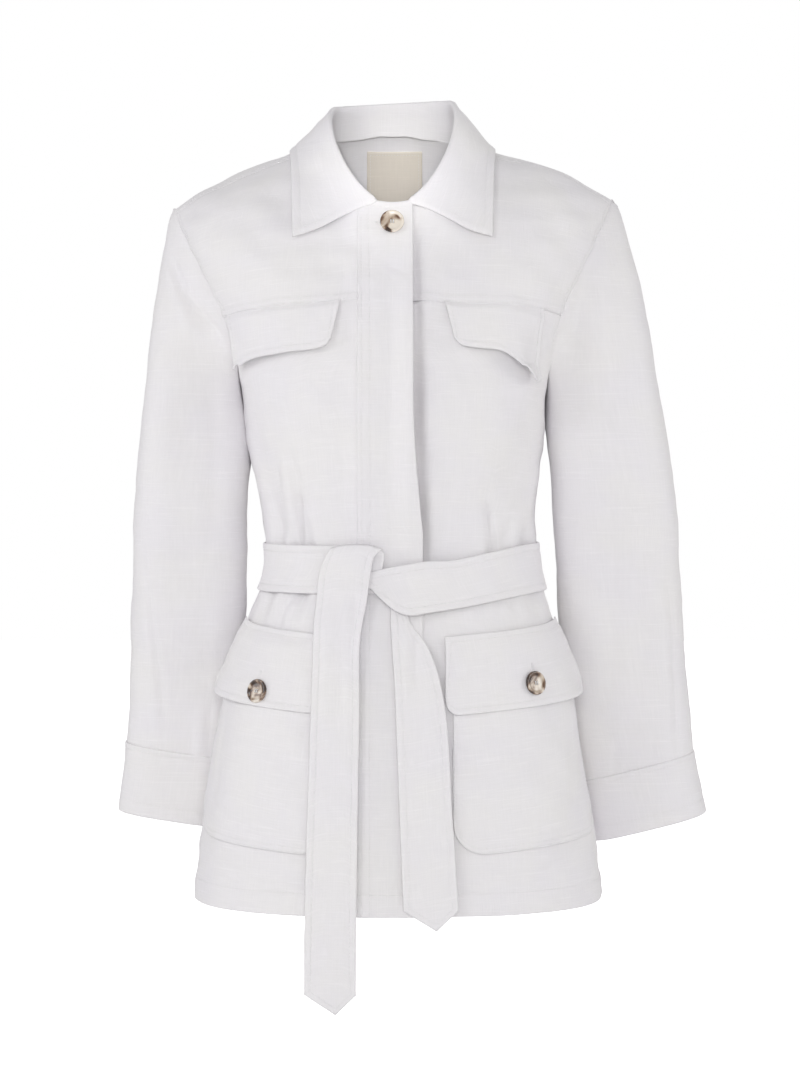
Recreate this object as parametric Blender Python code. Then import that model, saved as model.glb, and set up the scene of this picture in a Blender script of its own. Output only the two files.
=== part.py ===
"""A belted linen jacket, filled out as if it were worn, with each cut piece a thin cloth wall.

Metres, +Z up, the front faces -Y. The origin is the middle of the neck, level with the shoulder points.
"""

import math
from collections import namedtuple

import bpy
import numpy as np
from mathutils import Matrix

# Cloth thicknesses and the gaps between pieces
CLOTH = 0.0012
PLACKET_CLOTH = 0.0015
COLLAR_CLOTH = 0.0018
CUFF_CLOTH = 0.0020
FLAP_CLOTH = 0.0016
BELT_CLOTH = 0.0018
LABEL_CLOTH = 0.0010
SEAM_GAP = 0.0003
LAY_GAP = 0.0008

# Body sizes
HEM_Z = -0.742
UNDERARM_Z = -0.215
SQUARE_FRONT = 2.5
SQUARE_BACK = 2.1
SQUARE_SHOULDER = 3.6
SHOULDER_SPREAD = 1.406
RIDGE_Y = 0.012
FRONT_LEAN = 1.5
BACK_LEAN = 1.0
LEAN_ENDS_X = 0.110
YOKE_RISE = 0.175
YOKE_RISE_MIDDLE = 0.140
YOKE_LEVELS_AT = math.radians(45)
YOKE_SEAM_RISE = 0.0009
SHOULDER_SEAM_RISE = 0.82

Section = namedtuple("Section", "z half_width front back centre_x")
SECTIONS = (
    Section(z=-0.744, half_width=0.2045, front=0.150, back=0.143, centre_x=0.005),
    Section(z=-0.680, half_width=0.1960, front=0.146, back=0.138, centre_x=0.005),
    Section(z=-0.600, half_width=0.1830, front=0.138, back=0.131, centre_x=0.004),
    Section(z=-0.530, half_width=0.1705, front=0.129, back=0.123, centre_x=0.006),
    Section(z=-0.470, half_width=0.1560, front=0.119, back=0.112, centre_x=0.010),
    Section(z=-0.415, half_width=0.1400, front=0.108, back=0.100, centre_x=0.013),
    Section(z=-0.370, half_width=0.1405, front=0.109, back=0.100, centre_x=0.011),
    Section(z=-0.300, half_width=0.1505, front=0.117, back=0.107, centre_x=0.005),
    Section(z=-0.215, half_width=0.1560, front=0.122, back=0.115, centre_x=0.000),
)

Ridge = namedtuple("Ridge", "x z")
RIDGE = (
    Ridge(x=0.000, z=0.0540),
    Ridge(x=0.016, z=0.0535),
    Ridge(x=0.040, z=0.0400),
    Ridge(x=0.072, z=0.0120),
    Ridge(x=0.100, z=-0.004),
    Ridge(x=0.150, z=-0.023),
    Ridge(x=0.200, z=-0.046),
    Ridge(x=0.218, z=-0.058),
)

# Armholes: how far each cuts in from the side, and where along its height it is deepest
SHOULDER_TURN = math.radians(9)
LEFT_SHOULDER_LIFT = 0.009
LEFT_LIFT_FROM = 0.060
LEFT_LIFT_TO = 0.190
FRONT_SCOOP = math.radians(25)
BACK_SCOOP = math.radians(20)
SCOOP_SKEW = 0.6
SCOOP_FULLNESS = 0.8

# Neckline
NECK_TURN = math.radians(23)
NECK_FRONT_RISE = 0.385
NECK_BACK_RISE = 0.70
NECK_SQUARE = 2.6

# Cloth gathered in by the belt: troughs that are deepest at the waist
Fold = namedtuple("Fold", "turn_deg depth width_deg reach_up reach_down")
FOLDS = (
    Fold(turn_deg=-60, depth=0.0045, width_deg=5.0, reach_up=0.085, reach_down=0.050),
    Fold(turn_deg=-41, depth=0.0055, width_deg=4.5, reach_up=0.060, reach_down=0.048),
    Fold(turn_deg=41, depth=0.0050, width_deg=4.5, reach_up=0.040, reach_down=0.050),
    Fold(turn_deg=62, depth=0.0045, width_deg=5.0, reach_up=0.070, reach_down=0.045),
    Fold(turn_deg=118, depth=0.0045, width_deg=5.0, reach_up=0.060, reach_down=0.060),
    Fold(turn_deg=146, depth=0.0055, width_deg=5.0, reach_up=0.070, reach_down=0.070),
    Fold(turn_deg=214, depth=0.0055, width_deg=5.0, reach_up=0.075, reach_down=0.065),
    Fold(turn_deg=240, depth=0.0045, width_deg=5.0, reach_up=0.055, reach_down=0.060),
)

# Front edges: the right front laps over the left
PLACKET_LEFT_X = -0.0333
PLACKET_RIGHT_X = 0.0186
UNDERLAP_X = -0.0290
LAP_RAISE = 0.0022
LAP_RAMP = 0.016
PLACKET_OUT = 0.0024
PLACKET_LIFT = 0.0060
PLACKET_LIFT_FROM = -0.42
PLACKET_LIFT_TO = -0.16

# Belt
BELT_WIDTH = 0.046
BELT_TOP = -0.392
BELT_DROP = 0.020
BELT_LEFT_END_X = -0.034
BELT_RIGHT_END_X = -0.030
BELT_RIGHT_RAISE = 0.0070
BELT_GAP = 0.0010

# Sleeves: the edges seen from the front, as distances from the middle
SleeveSection = namedtuple("SleeveSection", "z outer inner middle_y half_depth")
SLEEVE_TABLES = {
    "right": (
        SleeveSection(z=-0.245, outer=0.248, inner=0.160, middle_y=0.008, half_depth=0.062),
        SleeveSection(z=-0.350, outer=0.259, inner=0.147, middle_y=0.022, half_depth=0.060),
        SleeveSection(z=-0.450, outer=0.265, inner=0.146, middle_y=0.047, half_depth=0.058),
        SleeveSection(z=-0.550, outer=0.270, inner=0.153, middle_y=0.073, half_depth=0.051),
        SleeveSection(z=-0.608, outer=0.274, inner=0.160, middle_y=0.082, half_depth=0.047),
        SleeveSection(z=-0.679, outer=0.285, inner=0.169, middle_y=0.096, half_depth=0.047),
    ),
    "left": (
        SleeveSection(z=-0.245, outer=0.266, inner=0.159, middle_y=0.008, half_depth=0.062),
        SleeveSection(z=-0.350, outer=0.283, inner=0.158, middle_y=0.022, half_depth=0.060),
        SleeveSection(z=-0.450, outer=0.292, inner=0.164, middle_y=0.045, half_depth=0.058),
        SleeveSection(z=-0.550, outer=0.301, inner=0.176, middle_y=0.068, half_depth=0.055),
        SleeveSection(z=-0.623, outer=0.309, inner=0.190, middle_y=0.080, half_depth=0.053),
        SleeveSection(z=-0.685, outer=0.322, inner=0.202, middle_y=0.086, half_depth=0.055),
    ),
}
SLEEVE_SIDE = {"right": -1, "left": 1}
SLEEVE_TILT = {"right": 0.018, "left": 0.030}
CAP_BULGE = {"right": 0.005, "left": 0.009}
SLEEVE_COLUMNS = 24
CAP_ROWS = 4
SLEEVE_ROWS = 8
CUFF_ROWS = 2

SleeveFold = namedtuple("SleeveFold", "angle_deg z depth width_deg reach")
SLEEVE_FOLDS = (
    SleeveFold(angle_deg=60, z=-0.36, depth=0.0040, width_deg=16, reach=0.14),
    SleeveFold(angle_deg=120, z=-0.30, depth=0.0045, width_deg=17, reach=0.10),
    SleeveFold(angle_deg=95, z=-0.56, depth=0.0035, width_deg=15, reach=0.08),
    SleeveFold(angle_deg=250, z=-0.33, depth=0.0045, width_deg=17, reach=0.11),
    SleeveFold(angle_deg=300, z=-0.52, depth=0.0040, width_deg=16, reach=0.12),
)

# Collar: the stand's height and the fall's outer edge, from the front ends round to the back
COLLAR_END_X = 0.0155
COLLAR_POINT_X = 0.0950
COLLAR_POINT_RISE = 0.385
COLLAR_SHOULDER_X = 0.101
COLLAR_BACK_RISE = 0.66
COLLAR_STAND_FRONT = 0.006
COLLAR_STAND_BACK = 0.027
COLLAR_SIDE_RISE = 0.004
COLLAR_STAND_INSET = 0.009
COLLAR_ROLL = 0.0032
COLLAR_GAP_FRONT = 0.0024
COLLAR_GAP_BACK = 0.0017
COLLAR_CLEAR = 0.0046
COLLAR_COLUMNS = 13

# Pockets and flaps
POCKET_INNER_X = 0.0575
POCKET_OUTER_TURN = math.radians(82)
POCKET_TOP = -0.500
POCKET_BOTTOM = -0.686
POCKET_TILT = 0.013
POCKET_CORNER = 0.032
POCKET_OUT = LAY_GAP + CLOTH
FLAP_INNER_X = 0.0500
FLAP_OUTER_TURN = math.radians(84)
FLAP_TOP = -0.479
FLAP_BOTTOM = -0.553
FLAP_CORNER = 0.014
FLAP_LIFT = 0.007

ChestFlapDrop = namedtuple("ChestFlapDrop", "along drop")
CHEST_FLAP_DROPS = {
    "right": (
        ChestFlapDrop(along=0.00, drop=0.036),
        ChestFlapDrop(along=0.10, drop=0.045),
        ChestFlapDrop(along=0.50, drop=0.047),
        ChestFlapDrop(along=0.85, drop=0.050),
        ChestFlapDrop(along=1.00, drop=0.060),
    ),
    "left": (
        ChestFlapDrop(along=0.00, drop=0.036),
        ChestFlapDrop(along=0.10, drop=0.045),
        ChestFlapDrop(along=0.50, drop=0.047),
        ChestFlapDrop(along=0.78, drop=0.058),
        ChestFlapDrop(along=1.00, drop=0.060),
    ),
}
CHEST_FLAP_INNER_X = 0.049
CHEST_FLAP_SLANT = 0.014
CHEST_FLAP_TOP_REACH = 0.87
CHEST_FLAP_LOW_REACH = {"right": 1.06, "left": 0.95}
CHEST_FLAP_LIFT = 0.007

# Belt ends: the path of each, as a distance off the body's front and a height
TailStep = namedtuple("TailStep", "left right off z")
LEFT_TAIL = (
    TailStep(left=-0.064, right=-0.022, off=0.0066, z=-0.436),
    TailStep(left=-0.064, right=-0.018, off=0.0066, z=-0.410),
    TailStep(left=-0.063, right=-0.016, off=0.0072, z=-0.396),
    TailStep(left=-0.063, right=-0.015, off=0.0098, z=-0.3895),
    TailStep(left=-0.065, right=-0.017, off=0.0128, z=-0.395),
    TailStep(left=-0.069, right=-0.021, off=0.0142, z=-0.412),
    TailStep(left=-0.072, right=-0.026, off=0.0136, z=-0.440),
    TailStep(left=-0.075, right=-0.033, off=0.0112, z=-0.480),
    TailStep(left=-0.077, right=-0.032, off=0.0095, z=-0.540),
    TailStep(left=-0.079, right=-0.033, off=0.0090, z=-0.610),
    TailStep(left=-0.081, right=-0.034, off=0.0085, z=-0.680),
    TailStep(left=-0.083, right=-0.035, off=0.0080, z=-0.745),
    TailStep(left=-0.083, right=-0.035, off=0.0075, z=-0.815),
)
RIGHT_TAIL = (
    TailStep(left=0.002, right=0.030, off=0.0042, z=-0.432),
    TailStep(left=0.001, right=0.032, off=0.0044, z=-0.462),
    TailStep(left=0.003, right=0.040, off=0.0070, z=-0.495),
    TailStep(left=0.005, right=0.047, off=0.0090, z=-0.540),
    TailStep(left=0.007, right=0.053, off=0.0090, z=-0.600),
    TailStep(left=0.009, right=0.057, off=0.0085, z=-0.660),
    TailStep(left=0.011, right=0.062, off=0.0080, z=-0.735),
)
TAIL_POINT = 0.019
TAIL_POINT_AT = 0.60

# Buttons
BUTTON_RADIUS = 0.0115
BUTTON_HEIGHT = 0.0036
BUTTON_RIM = 0.0030
BUTTON_DISH = 0.0010
BUTTON_SIDES = 24
BUTTON_HOLE_RADIUS = 0.0010
BUTTON_HOLE_SPACING = 0.0017
POCKET_BUTTON_GAP = 0.0012
TOP_BUTTON = (-0.0005, -0.0825)
POCKET_BUTTON_X = {"right": -0.126, "left": 0.133}
POCKET_BUTTON_Z = {"right": -0.533, "left": -0.525}

# Neck label, on the inside of the back
LABEL_LEFT_X = -0.027
LABEL_RIGHT_X = 0.030
LABEL_TOP = 0.006
LABEL_BOTTOM = -0.054
LABEL_GAP = 0.0013

LINEN = (0.80, 0.80, 0.81)
LINEN_LABEL = (0.62, 0.58, 0.51)
HORN = (0.50, 0.41, 0.33)


def smooth_read(rows, key, column, at):
    """A column of a table read between its rows with a smooth curve."""
    keys = [getattr(row, key) for row in rows]
    values = [getattr(row, column) for row in rows]
    if keys[0] > keys[-1]:
        keys, values = keys[::-1], values[::-1]
    at = min(max(at, keys[0]), keys[-1])
    i = min(max(int(np.searchsorted(keys, at)) - 1, 0), len(keys) - 2)
    step = keys[i + 1] - keys[i]
    slope = (values[i + 1] - values[i]) / step
    before = (values[i] - values[i - 1]) / (keys[i] - keys[i - 1]) if i > 0 else slope
    after = slope
    if i + 2 < len(keys):
        after = (values[i + 2] - values[i + 1]) / (keys[i + 2] - keys[i + 1])
    start, end = (before + slope) / 2, (slope + after) / 2
    t = (at - keys[i]) / step
    return (
        values[i] * (1 + 2 * t) * (1 - t) ** 2
        + values[i + 1] * t * t * (3 - 2 * t)
        + step * t * (1 - t) * (start * (1 - t) - end * t)
    )


def ease(t):
    """0 to 1 with soft ends."""
    t = min(max(t, 0.0), 1.0)
    return t * t * (3 - 2 * t)


def mix(a, b, t):
    return a + (b - a) * t


def body_section(z):
    return Section(z, *(smooth_read(SECTIONS, "z", name, z) for name in Section._fields[1:]))


def squareness(rise, back):
    """Sections are rounded at the waist and squarer up at the shoulders."""
    up = math.sin(min(max(rise, 0.0), 1.0) * math.pi / 2)
    return mix(SQUARE_BACK if back else SQUARE_FRONT, SQUARE_SHOULDER, up)


def ring_point(section, turn, rise=0.0):
    """A point of a level section, from its middle; turn 0 is the centre front, and turns grow to +X."""
    across, along = math.sin(turn), math.cos(turn)
    depth, square = section.front if along > 0 else section.back, squareness(rise, along <= 0)
    radius = (abs(across / section.half_width) ** square + abs(along / depth) ** square) ** (-1 / square)
    return radius * across, -radius * along


def ridge_height(x):
    """The shoulders' height along their ridge; the wearer's left one is held a little higher."""
    lift = LEFT_SHOULDER_LIFT * ease((x - LEFT_LIFT_FROM) / (LEFT_LIFT_TO - LEFT_LIFT_FROM))
    return smooth_read(RIDGE, "x", "z", abs(x)) + lift


def rise_of_level(z):
    """Rise runs from -1 at the hem to 0 at the underarm, 1 on the shoulder's ridge, and on past it."""
    return (z - UNDERARM_Z) / (UNDERARM_Z - HEM_Z)


def level_of_rise(rise):
    return UNDERARM_Z + rise * (UNDERARM_Z - HEM_Z)


CHEST = body_section(UNDERARM_Z)


def body_point(turn, rise):
    """A point of the body's outside. Past a rise of 1 the surface goes on over the shoulder's ridge."""
    if rise > 1:
        turn, rise = math.pi - turn, 2 - rise
    if rise <= 0:
        section = body_section(level_of_rise(rise))
        x, y = ring_point(section, turn)
        return np.array((section.centre_x + x, y, section.z))
    x, y = ring_point(CHEST, turn, rise)
    up, back = math.sin(rise * math.pi / 2), math.cos(rise * math.pi / 2)
    peak = ridge_height(x * SHOULDER_SPREAD)
    lean = mix(FRONT_LEAN if y < 0 else BACK_LEAN, 1.0, ease(abs(x) / LEAN_ENDS_X))
    return np.array((
        x * mix(1, SHOULDER_SPREAD, up),
        RIDGE_Y + (y - RIDGE_Y) * max(back, 0.0) ** lean,
        UNDERARM_Z + (peak - UNDERARM_Z) * up,
    ))


def body_normal(turn, rise):
    step = 0.002
    along = body_point(turn + step, rise) - body_point(turn - step, rise)
    up = body_point(turn, rise + step) - body_point(turn, rise - step)
    normal = np.cross(along, up)
    return normal / np.linalg.norm(normal)


def fold_depth(turn, rise):
    """How far the belt's gathers draw the cloth in at a place on the body."""
    if rise > 0:
        return 0.0
    z = level_of_rise(rise)
    waist = BELT_TOP - BELT_WIDTH / 2
    total = 0.0
    for fold in FOLDS:
        apart = math.remainder(turn - math.radians(fold.turn_deg), 2 * math.pi)
        reach = fold.reach_up if z > waist else fold.reach_down
        width = math.radians(fold.width_deg)
        total += fold.depth * math.exp(-(apart / width) ** 2 - ((z - waist) / reach) ** 2)
    return total


def on_body(turn, rise, out=0.0, folded=True):
    """A point at a distance out from the body, along its normal."""
    drawn = fold_depth(turn, rise) if folded else 0.0
    return body_point(turn, rise) + body_normal(turn, rise) * (out - drawn)


def turn_at_x(x, rise, back=False):
    """The turn whose point has this x at this rise."""
    if rise <= 0:
        section = body_section(level_of_rise(rise))
        x = x - section.centre_x
    else:
        section = CHEST
        x = x / mix(1, SHOULDER_SPREAD, math.sin(rise * math.pi / 2))
    depth, square = section.back if back else section.front, squareness(rise, back)
    y = depth * (1 - abs(x / section.half_width) ** square) ** (1 / square)
    return math.atan2(x, -y if back else y) % (2 * math.pi) if back else math.atan2(x, y)


def rise_at_level(turn, z):
    """The rise at which this turn passes a height, also above the underarm."""
    if z <= UNDERARM_Z:
        return rise_of_level(z)
    rise = 0.0
    for _ in range(12):
        x, _ = ring_point(CHEST, turn, rise)
        share = (z - UNDERARM_Z) / (ridge_height(x * SHOULDER_SPREAD) - UNDERARM_Z)
        rise = math.asin(min(share, 1.0)) * 2 / math.pi
    return rise


def front_depth_at(x, z):
    """The y of the body's front at this x and height, level below the hem."""
    rise = rise_of_level(max(z, HEM_Z))
    return body_point(turn_at_x(x, rise), rise)[1]


def armhole_turn(rise, scoop):
    """The turn of an armhole's edge, measured from the centre line that its panel grows from."""
    rise = min(max(rise, 0.0), 1.0)
    scooped = scoop * max(math.sin(math.pi * rise**SCOOP_SKEW), 0.0) ** SCOOP_FULLNESS
    return math.pi / 2 - SHOULDER_TURN * rise - scooped


def yoke_rise(turn):
    """The front yoke's seam, which dips towards the placket."""
    return mix(YOKE_RISE_MIDDLE, YOKE_RISE, ease(abs(turn) / YOKE_LEVELS_AT))


def front_outer_turn(rise):
    if rise <= 0:
        return math.pi / 2 - SEAM_GAP / 2 / CHEST.half_width
    return armhole_turn(rise, FRONT_SCOOP)


def back_outer_turn(rise):
    """The back panel's edge, as a turn from the centre back."""
    if rise <= 0:
        return math.pi / 2 - SEAM_GAP / 2 / CHEST.half_width
    if rise <= 1:
        return armhole_turn(rise, BACK_SCOOP)
    return armhole_turn(2 - rise, FRONT_SCOOP)


def neck_rise(turn, lowest):
    """The rise of the neckline at a turn from the centre line."""
    share = min(abs(turn) / NECK_TURN, 1.0)
    return 1 - (1 - lowest) * (1 - share**NECK_SQUARE) ** (1 / NECK_SQUARE)


def neck_place(way):
    """The neckline's turn from the nearer centre line and its rise, past 1 on the front.

    The way is 0 at the centre back, pi / 2 on the shoulder and pi at the centre front.
    """
    lowest = NECK_BACK_RISE if way < math.pi / 2 else NECK_FRONT_RISE
    across = abs(math.sin(way)) ** (2 / NECK_SQUARE)
    drop = (1 - lowest) * abs(math.cos(way)) ** (2 / NECK_SQUARE)
    return NECK_TURN * across, 1 - drop if way < math.pi / 2 else 1 + drop


NECK_SEAM_TURN = NECK_TURN * (
    1 - ((1 - SHOULDER_SEAM_RISE) / (1 - NECK_FRONT_RISE)) ** NECK_SQUARE
) ** (1 / NECK_SQUARE)
NECK_SEAM_WAY = math.pi / 2 + math.asin(
    ((1 - SHOULDER_SEAM_RISE) / (1 - NECK_FRONT_RISE)) ** (NECK_SQUARE / 2)
)


def level_rises():
    """The rises of the rows below the underarm, closer together at the waist."""
    belt_bottom = BELT_TOP - BELT_WIDTH
    runs = (
        np.linspace(HEM_Z, belt_bottom - 0.030, 8)[:-1],
        np.linspace(belt_bottom - 0.030, BELT_TOP + 0.024, 6)[:-1],
        np.linspace(BELT_TOP + 0.024, UNDERARM_Z, 6),
    )
    return [rise_of_level(z) for run in runs for z in run]


def material(name, colour, roughness):
    made = bpy.data.materials.new(name)
    made.use_nodes = True
    shader = made.node_tree.nodes["Principled BSDF"]
    shader.inputs["Base Color"].default_value = (*colour, 1)
    shader.inputs["Roughness"].default_value = roughness
    shader.inputs["Metallic"].default_value = 0
    return made


def add_object(name, points, faces, finish):
    """One named object, with its faces turned outwards."""
    points = np.asarray(points, float)
    volume = 0.0
    for face in faces:
        for i in range(1, len(face) - 1):
            volume += np.dot(points[face[0]], np.cross(points[face[i]], points[face[i + 1]]))
    if volume < 0:
        faces = [face[::-1] for face in faces]
    mesh = bpy.data.meshes.new(name)
    mesh.from_pydata([tuple(p) for p in points], [], faces)
    mesh.shade_smooth()
    mesh.set_sharp_from_angle(angle=math.radians(40))
    mesh.materials.append(finish)
    obj = bpy.data.objects.new(name, mesh)
    bpy.context.scene.collection.objects.link(obj)
    return obj


def add_wall(name, outer, inner, finish, tube=False):
    """A closed wall between two grids of points, rows by columns; a tube's columns close on themselves."""
    outer, inner = np.asarray(outer, float), np.asarray(inner, float)
    rows, columns = outer.shape[:2]
    size = rows * columns
    points = np.concatenate([outer.reshape(-1, 3), inner.reshape(-1, 3)])
    faces = []
    for i in range(rows - 1):
        for j in range(columns if tube else columns - 1):
            k = (j + 1) % columns
            quad = (i * columns + j, i * columns + k, (i + 1) * columns + k, (i + 1) * columns + j)
            faces.append(quad)
            faces.append(tuple(size + p for p in quad[::-1]))
    rim = [(i * columns + j, i * columns + (j + 1) % columns) for i in (0, rows - 1)
           for j in range(columns if tube else columns - 1)]
    turned = [i == rows - 1 for i in (0, rows - 1) for j in range(columns if tube else columns - 1)]
    if not tube:
        for j in (0, columns - 1):
            for i in range(rows - 1):
                rim.append((i * columns + j, (i + 1) * columns + j))
                turned.append(j == 0)
    for (a, b), other_way in zip(rim, turned):
        side = (b, a, size + a, size + b)
        faces.append(side[::-1] if other_way else side)
    return add_object(name, points, faces, finish)


def grid_normals(grid, tube):
    """Unit normals of a grid of points, from the differences between its neighbours."""
    if tube:
        along = np.roll(grid, -1, axis=1) - np.roll(grid, 1, axis=1)
    else:
        along = np.gradient(grid, axis=1)
    normals = np.cross(along, np.gradient(grid, axis=0))
    return normals / np.linalg.norm(normals, axis=2, keepdims=True)


def wall_on_body(name, places, out, thick, finish, folded=True):
    """A wall whose points are (turn, rise) places, moved out from the body by a distance that may vary."""
    outs = [[out(*place) if callable(out) else out for place in row] for row in places]
    return wall_with_outs(name, places, outs, thick, finish, folded)


def wall_with_outs(name, places, outs, thick, finish, folded=True):
    """A wall whose points are (turn, rise) places, each with its own distance out from the body."""
    outer, inner = [], []
    for row, row_outs in zip(places, outs):
        outer.append([on_body(*place, out, folded) for place, out in zip(row, row_outs)])
        inner.append([on_body(*place, out - thick, folded) for place, out in zip(row, row_outs)])
    return add_wall(name, outer, inner, finish)


def lap_raise(turn, rise):
    """How far the right front stands out as it nears the placket."""
    x = body_point(turn, rise)[0]
    return LAP_RAISE * ease((x - PLACKET_LEFT_X + LAP_RAMP) / LAP_RAMP)


def front_places(side, edge_x, columns, upper_rows):
    """Places of a lower front, from its front edge to the side seam and up to the yoke."""
    shares = np.linspace(0, 1, columns + 1)
    places = []
    for rise in level_rises():
        start, end = turn_at_x(edge_x, rise), side * front_outer_turn(rise)
        places.append([(mix(start, end, u), rise) for u in shares])
    for v in np.linspace(0, 1, upper_rows + 1)[1:]:
        start = 0.0
        for _ in range(12):
            start = turn_at_x(edge_x, yoke_rise(start) * v)
        end = side * front_outer_turn(YOKE_RISE * v)
        turns = [mix(start, end, u) for u in shares]
        places.append([(turn, (yoke_rise(turn) - YOKE_SEAM_RISE) * v) for turn in turns])
    return places


def yoke_places(side, edge_x, neck_columns, shoulder_columns, rows):
    """Places of a front yoke: its top runs along the neckline and then the shoulder seam."""
    neck_start = 0.0
    for _ in range(20):
        neck_start = turn_at_x(edge_x, neck_rise(neck_start, NECK_FRONT_RISE))
    top = []
    for u in np.linspace(0, 1, neck_columns + 1):
        start, end = neck_start * side, NECK_SEAM_TURN
        turn = mix(start, end, 1 - (1 - u) ** 1.6)
        top.append((turn, min(neck_rise(turn, NECK_FRONT_RISE), SHOULDER_SEAM_RISE)))
    outer = front_outer_turn(SHOULDER_SEAM_RISE)
    for u in np.linspace(0, 1, shoulder_columns + 1)[1:]:
        top.append((mix(NECK_SEAM_TURN, outer, u), SHOULDER_SEAM_RISE))
    places = []
    for v in np.linspace(0, 1, rows + 1):
        row = []
        for w, (top_turn, top_rise) in zip(np.linspace(0, 1, len(top)), top):
            top_start = side * turn_at_x(edge_x, top_rise)
            top_share = (top_turn - top_start) / (front_outer_turn(top_rise) - top_start)
            turn, rise = w, YOKE_RISE
            for _ in range(8):
                rise = mix(yoke_rise(turn) + YOKE_SEAM_RISE, top_rise, v)
                start = side * turn_at_x(edge_x, rise)
                turn = mix(start, front_outer_turn(rise), mix(w, top_share, v))
            row.append((side * turn, rise))
        places.append(row)
    return places


def back_places(neck_columns, shoulder_columns, upper_rows):
    """Places of the back, from side seam to side seam, up over the shoulders to the shoulder seams."""
    top = []
    for u in np.linspace(0, 1, neck_columns + 1):
        top.append(neck_place(NECK_SEAM_WAY * u))
    seam_rise = 2 - SHOULDER_SEAM_RISE - 0.0045
    top[-1] = (top[-1][0], seam_rise)
    outer = back_outer_turn(seam_rise)
    for u in np.linspace(0, 1, shoulder_columns + 1)[1:]:
        top.append((mix(top[neck_columns][0], outer, u), seam_rise))
    half = []
    for rise in level_rises()[:-1]:
        half.append([(w * back_outer_turn(rise), rise) for w in np.linspace(0, 1, len(top))])
    for v in np.linspace(0, 1, upper_rows + 1):
        row = []
        for w, (top_turn, top_rise) in zip(np.linspace(0, 1, len(top)), top):
            rise = top_rise * v
            share = mix(w, top_turn / back_outer_turn(top_rise), v)
            row.append((share * back_outer_turn(rise), rise))
        half.append(row)
    return [[(math.pi - turn, rise) for turn, rise in row[::-1]]
            + [(math.pi + turn, rise) for turn, rise in row[1:]] for row in half]


def placket_places(columns, upper_rows):
    """Places of the placket, a straight strip from the hem to the neckline."""
    rises = level_rises() + list(np.linspace(0, 1, upper_rows + 1)[1:])
    places = []
    for i, rise in enumerate(rises):
        row = []
        for u in np.linspace(0, 1, columns + 1):
            x = mix(PLACKET_LEFT_X + SEAM_GAP, PLACKET_RIGHT_X, u)
            height = rise
            if i >= len(rises) - upper_rows:
                height = rise * neck_rise(turn_at_x(x, NECK_FRONT_RISE), NECK_FRONT_RISE)
            row.append((turn_at_x(x, height), height))
        places.append(row)
    return places


def placket_out(turn, rise):
    """The placket's free edge stands off the front that it covers."""
    x, _, z = body_point(turn, rise)
    along = (z - PLACKET_LIFT_FROM) / (PLACKET_LIFT_TO - PLACKET_LIFT_FROM)
    lift = math.sin(math.pi * along) if 0 < along < 1 else 0.0
    return PLACKET_OUT + PLACKET_LIFT * lift * ease((x + 0.004) / (PLACKET_RIGHT_X + 0.004))


def make_body(linen):
    front_columns = {"left": 15, "right": 13}
    for name, side, edge in (("left", 1, UNDERLAP_X), ("right", -1, PLACKET_LEFT_X)):
        out = lap_raise if name == "right" else 0.0
        wall_on_body(f"front_{name}", front_places(side, edge, front_columns[name], 2), out, CLOTH, linen)
        wall_on_body(f"front_yoke_{name}", yoke_places(side, edge, 6, 6, 5), out, CLOTH, linen)
    wall_on_body("back", back_places(6, 7, 8), 0.0, CLOTH, linen)
    wall_on_body("front_placket", placket_places(4, 5), placket_out, PLACKET_CLOTH, linen, folded=False)


def armhole_point(side, angle):
    """A point of the armhole's seam and the body's normal; angle 0 is the shoulder, pi / 2 the front."""
    angle = angle % (2 * math.pi)
    rise = min(max((1 + math.cos(angle)) / 2, 0.001), 0.999)
    if angle <= math.pi:
        turn = armhole_turn(rise, FRONT_SCOOP)
    else:
        turn = math.pi - armhole_turn(rise, BACK_SCOOP)
    return body_point(side * turn, rise), body_normal(side * turn, rise)


def sleeve_ring(side_name, z, angle, folded=True):
    """A point of a sleeve's section below the armhole."""
    side = SLEEVE_SIDE[side_name]
    rows = SLEEVE_TABLES[side_name]
    outer, inner, middle_y, half_depth = (
        smooth_read(rows, "z", name, z) for name in SleeveSection._fields[1:]
    )
    drawn = 0.0
    for fold in SLEEVE_FOLDS if folded else ():
        apart = math.remainder(angle - math.radians(fold.angle_deg), 2 * math.pi)
        drawn += fold.depth * math.exp(
            -(apart / math.radians(fold.width_deg)) ** 2 - ((z - fold.z) / fold.reach) ** 2
        )
    half_width = (outer - inner) / 2 - drawn
    tilt = SLEEVE_TILT[side_name] * ease((rows[0].z - z) / (rows[0].z - rows[-2].z))
    return np.array((
        side * ((outer + inner) / 2 + half_width * math.cos(angle)),
        middle_y - (half_depth - drawn) * math.sin(angle),
        z + tilt * math.cos(angle) / 2,
    ))


def make_sleeve(side_name, linen):
    side = SLEEVE_SIDE[side_name]
    rows = SLEEVE_TABLES[side_name]
    top_z, wrist_z = rows[0].z, rows[-2].z
    angles = np.linspace(0, 2 * math.pi, SLEEVE_COLUMNS + 1)[:-1]
    grid = []
    for f in np.linspace(0, 1, CAP_ROWS + 1):
        row = []
        for angle in angles:
            seam, normal = armhole_point(side, angle)
            lap = SEAM_GAP + CLOTH
            start = seam + normal * lap
            bulge = CAP_BULGE[side_name] * math.sin(math.pi * f) * max(math.cos(angle), 0.0)
            row.append(mix(start, sleeve_ring(side_name, top_z, angle), f) + (side * bulge, 0, 0))
        grid.append(row)
    for z in np.linspace(top_z, wrist_z + 2 * SEAM_GAP, SLEEVE_ROWS + 1)[1:]:
        grid.append([sleeve_ring(side_name, z, angle) for angle in angles])
    grid = np.array(grid)
    inward = grid_normals(grid, tube=True) * side
    add_wall(f"sleeve_{side_name}", grid, grid + inward * CLOTH, linen, tube=True)


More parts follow.
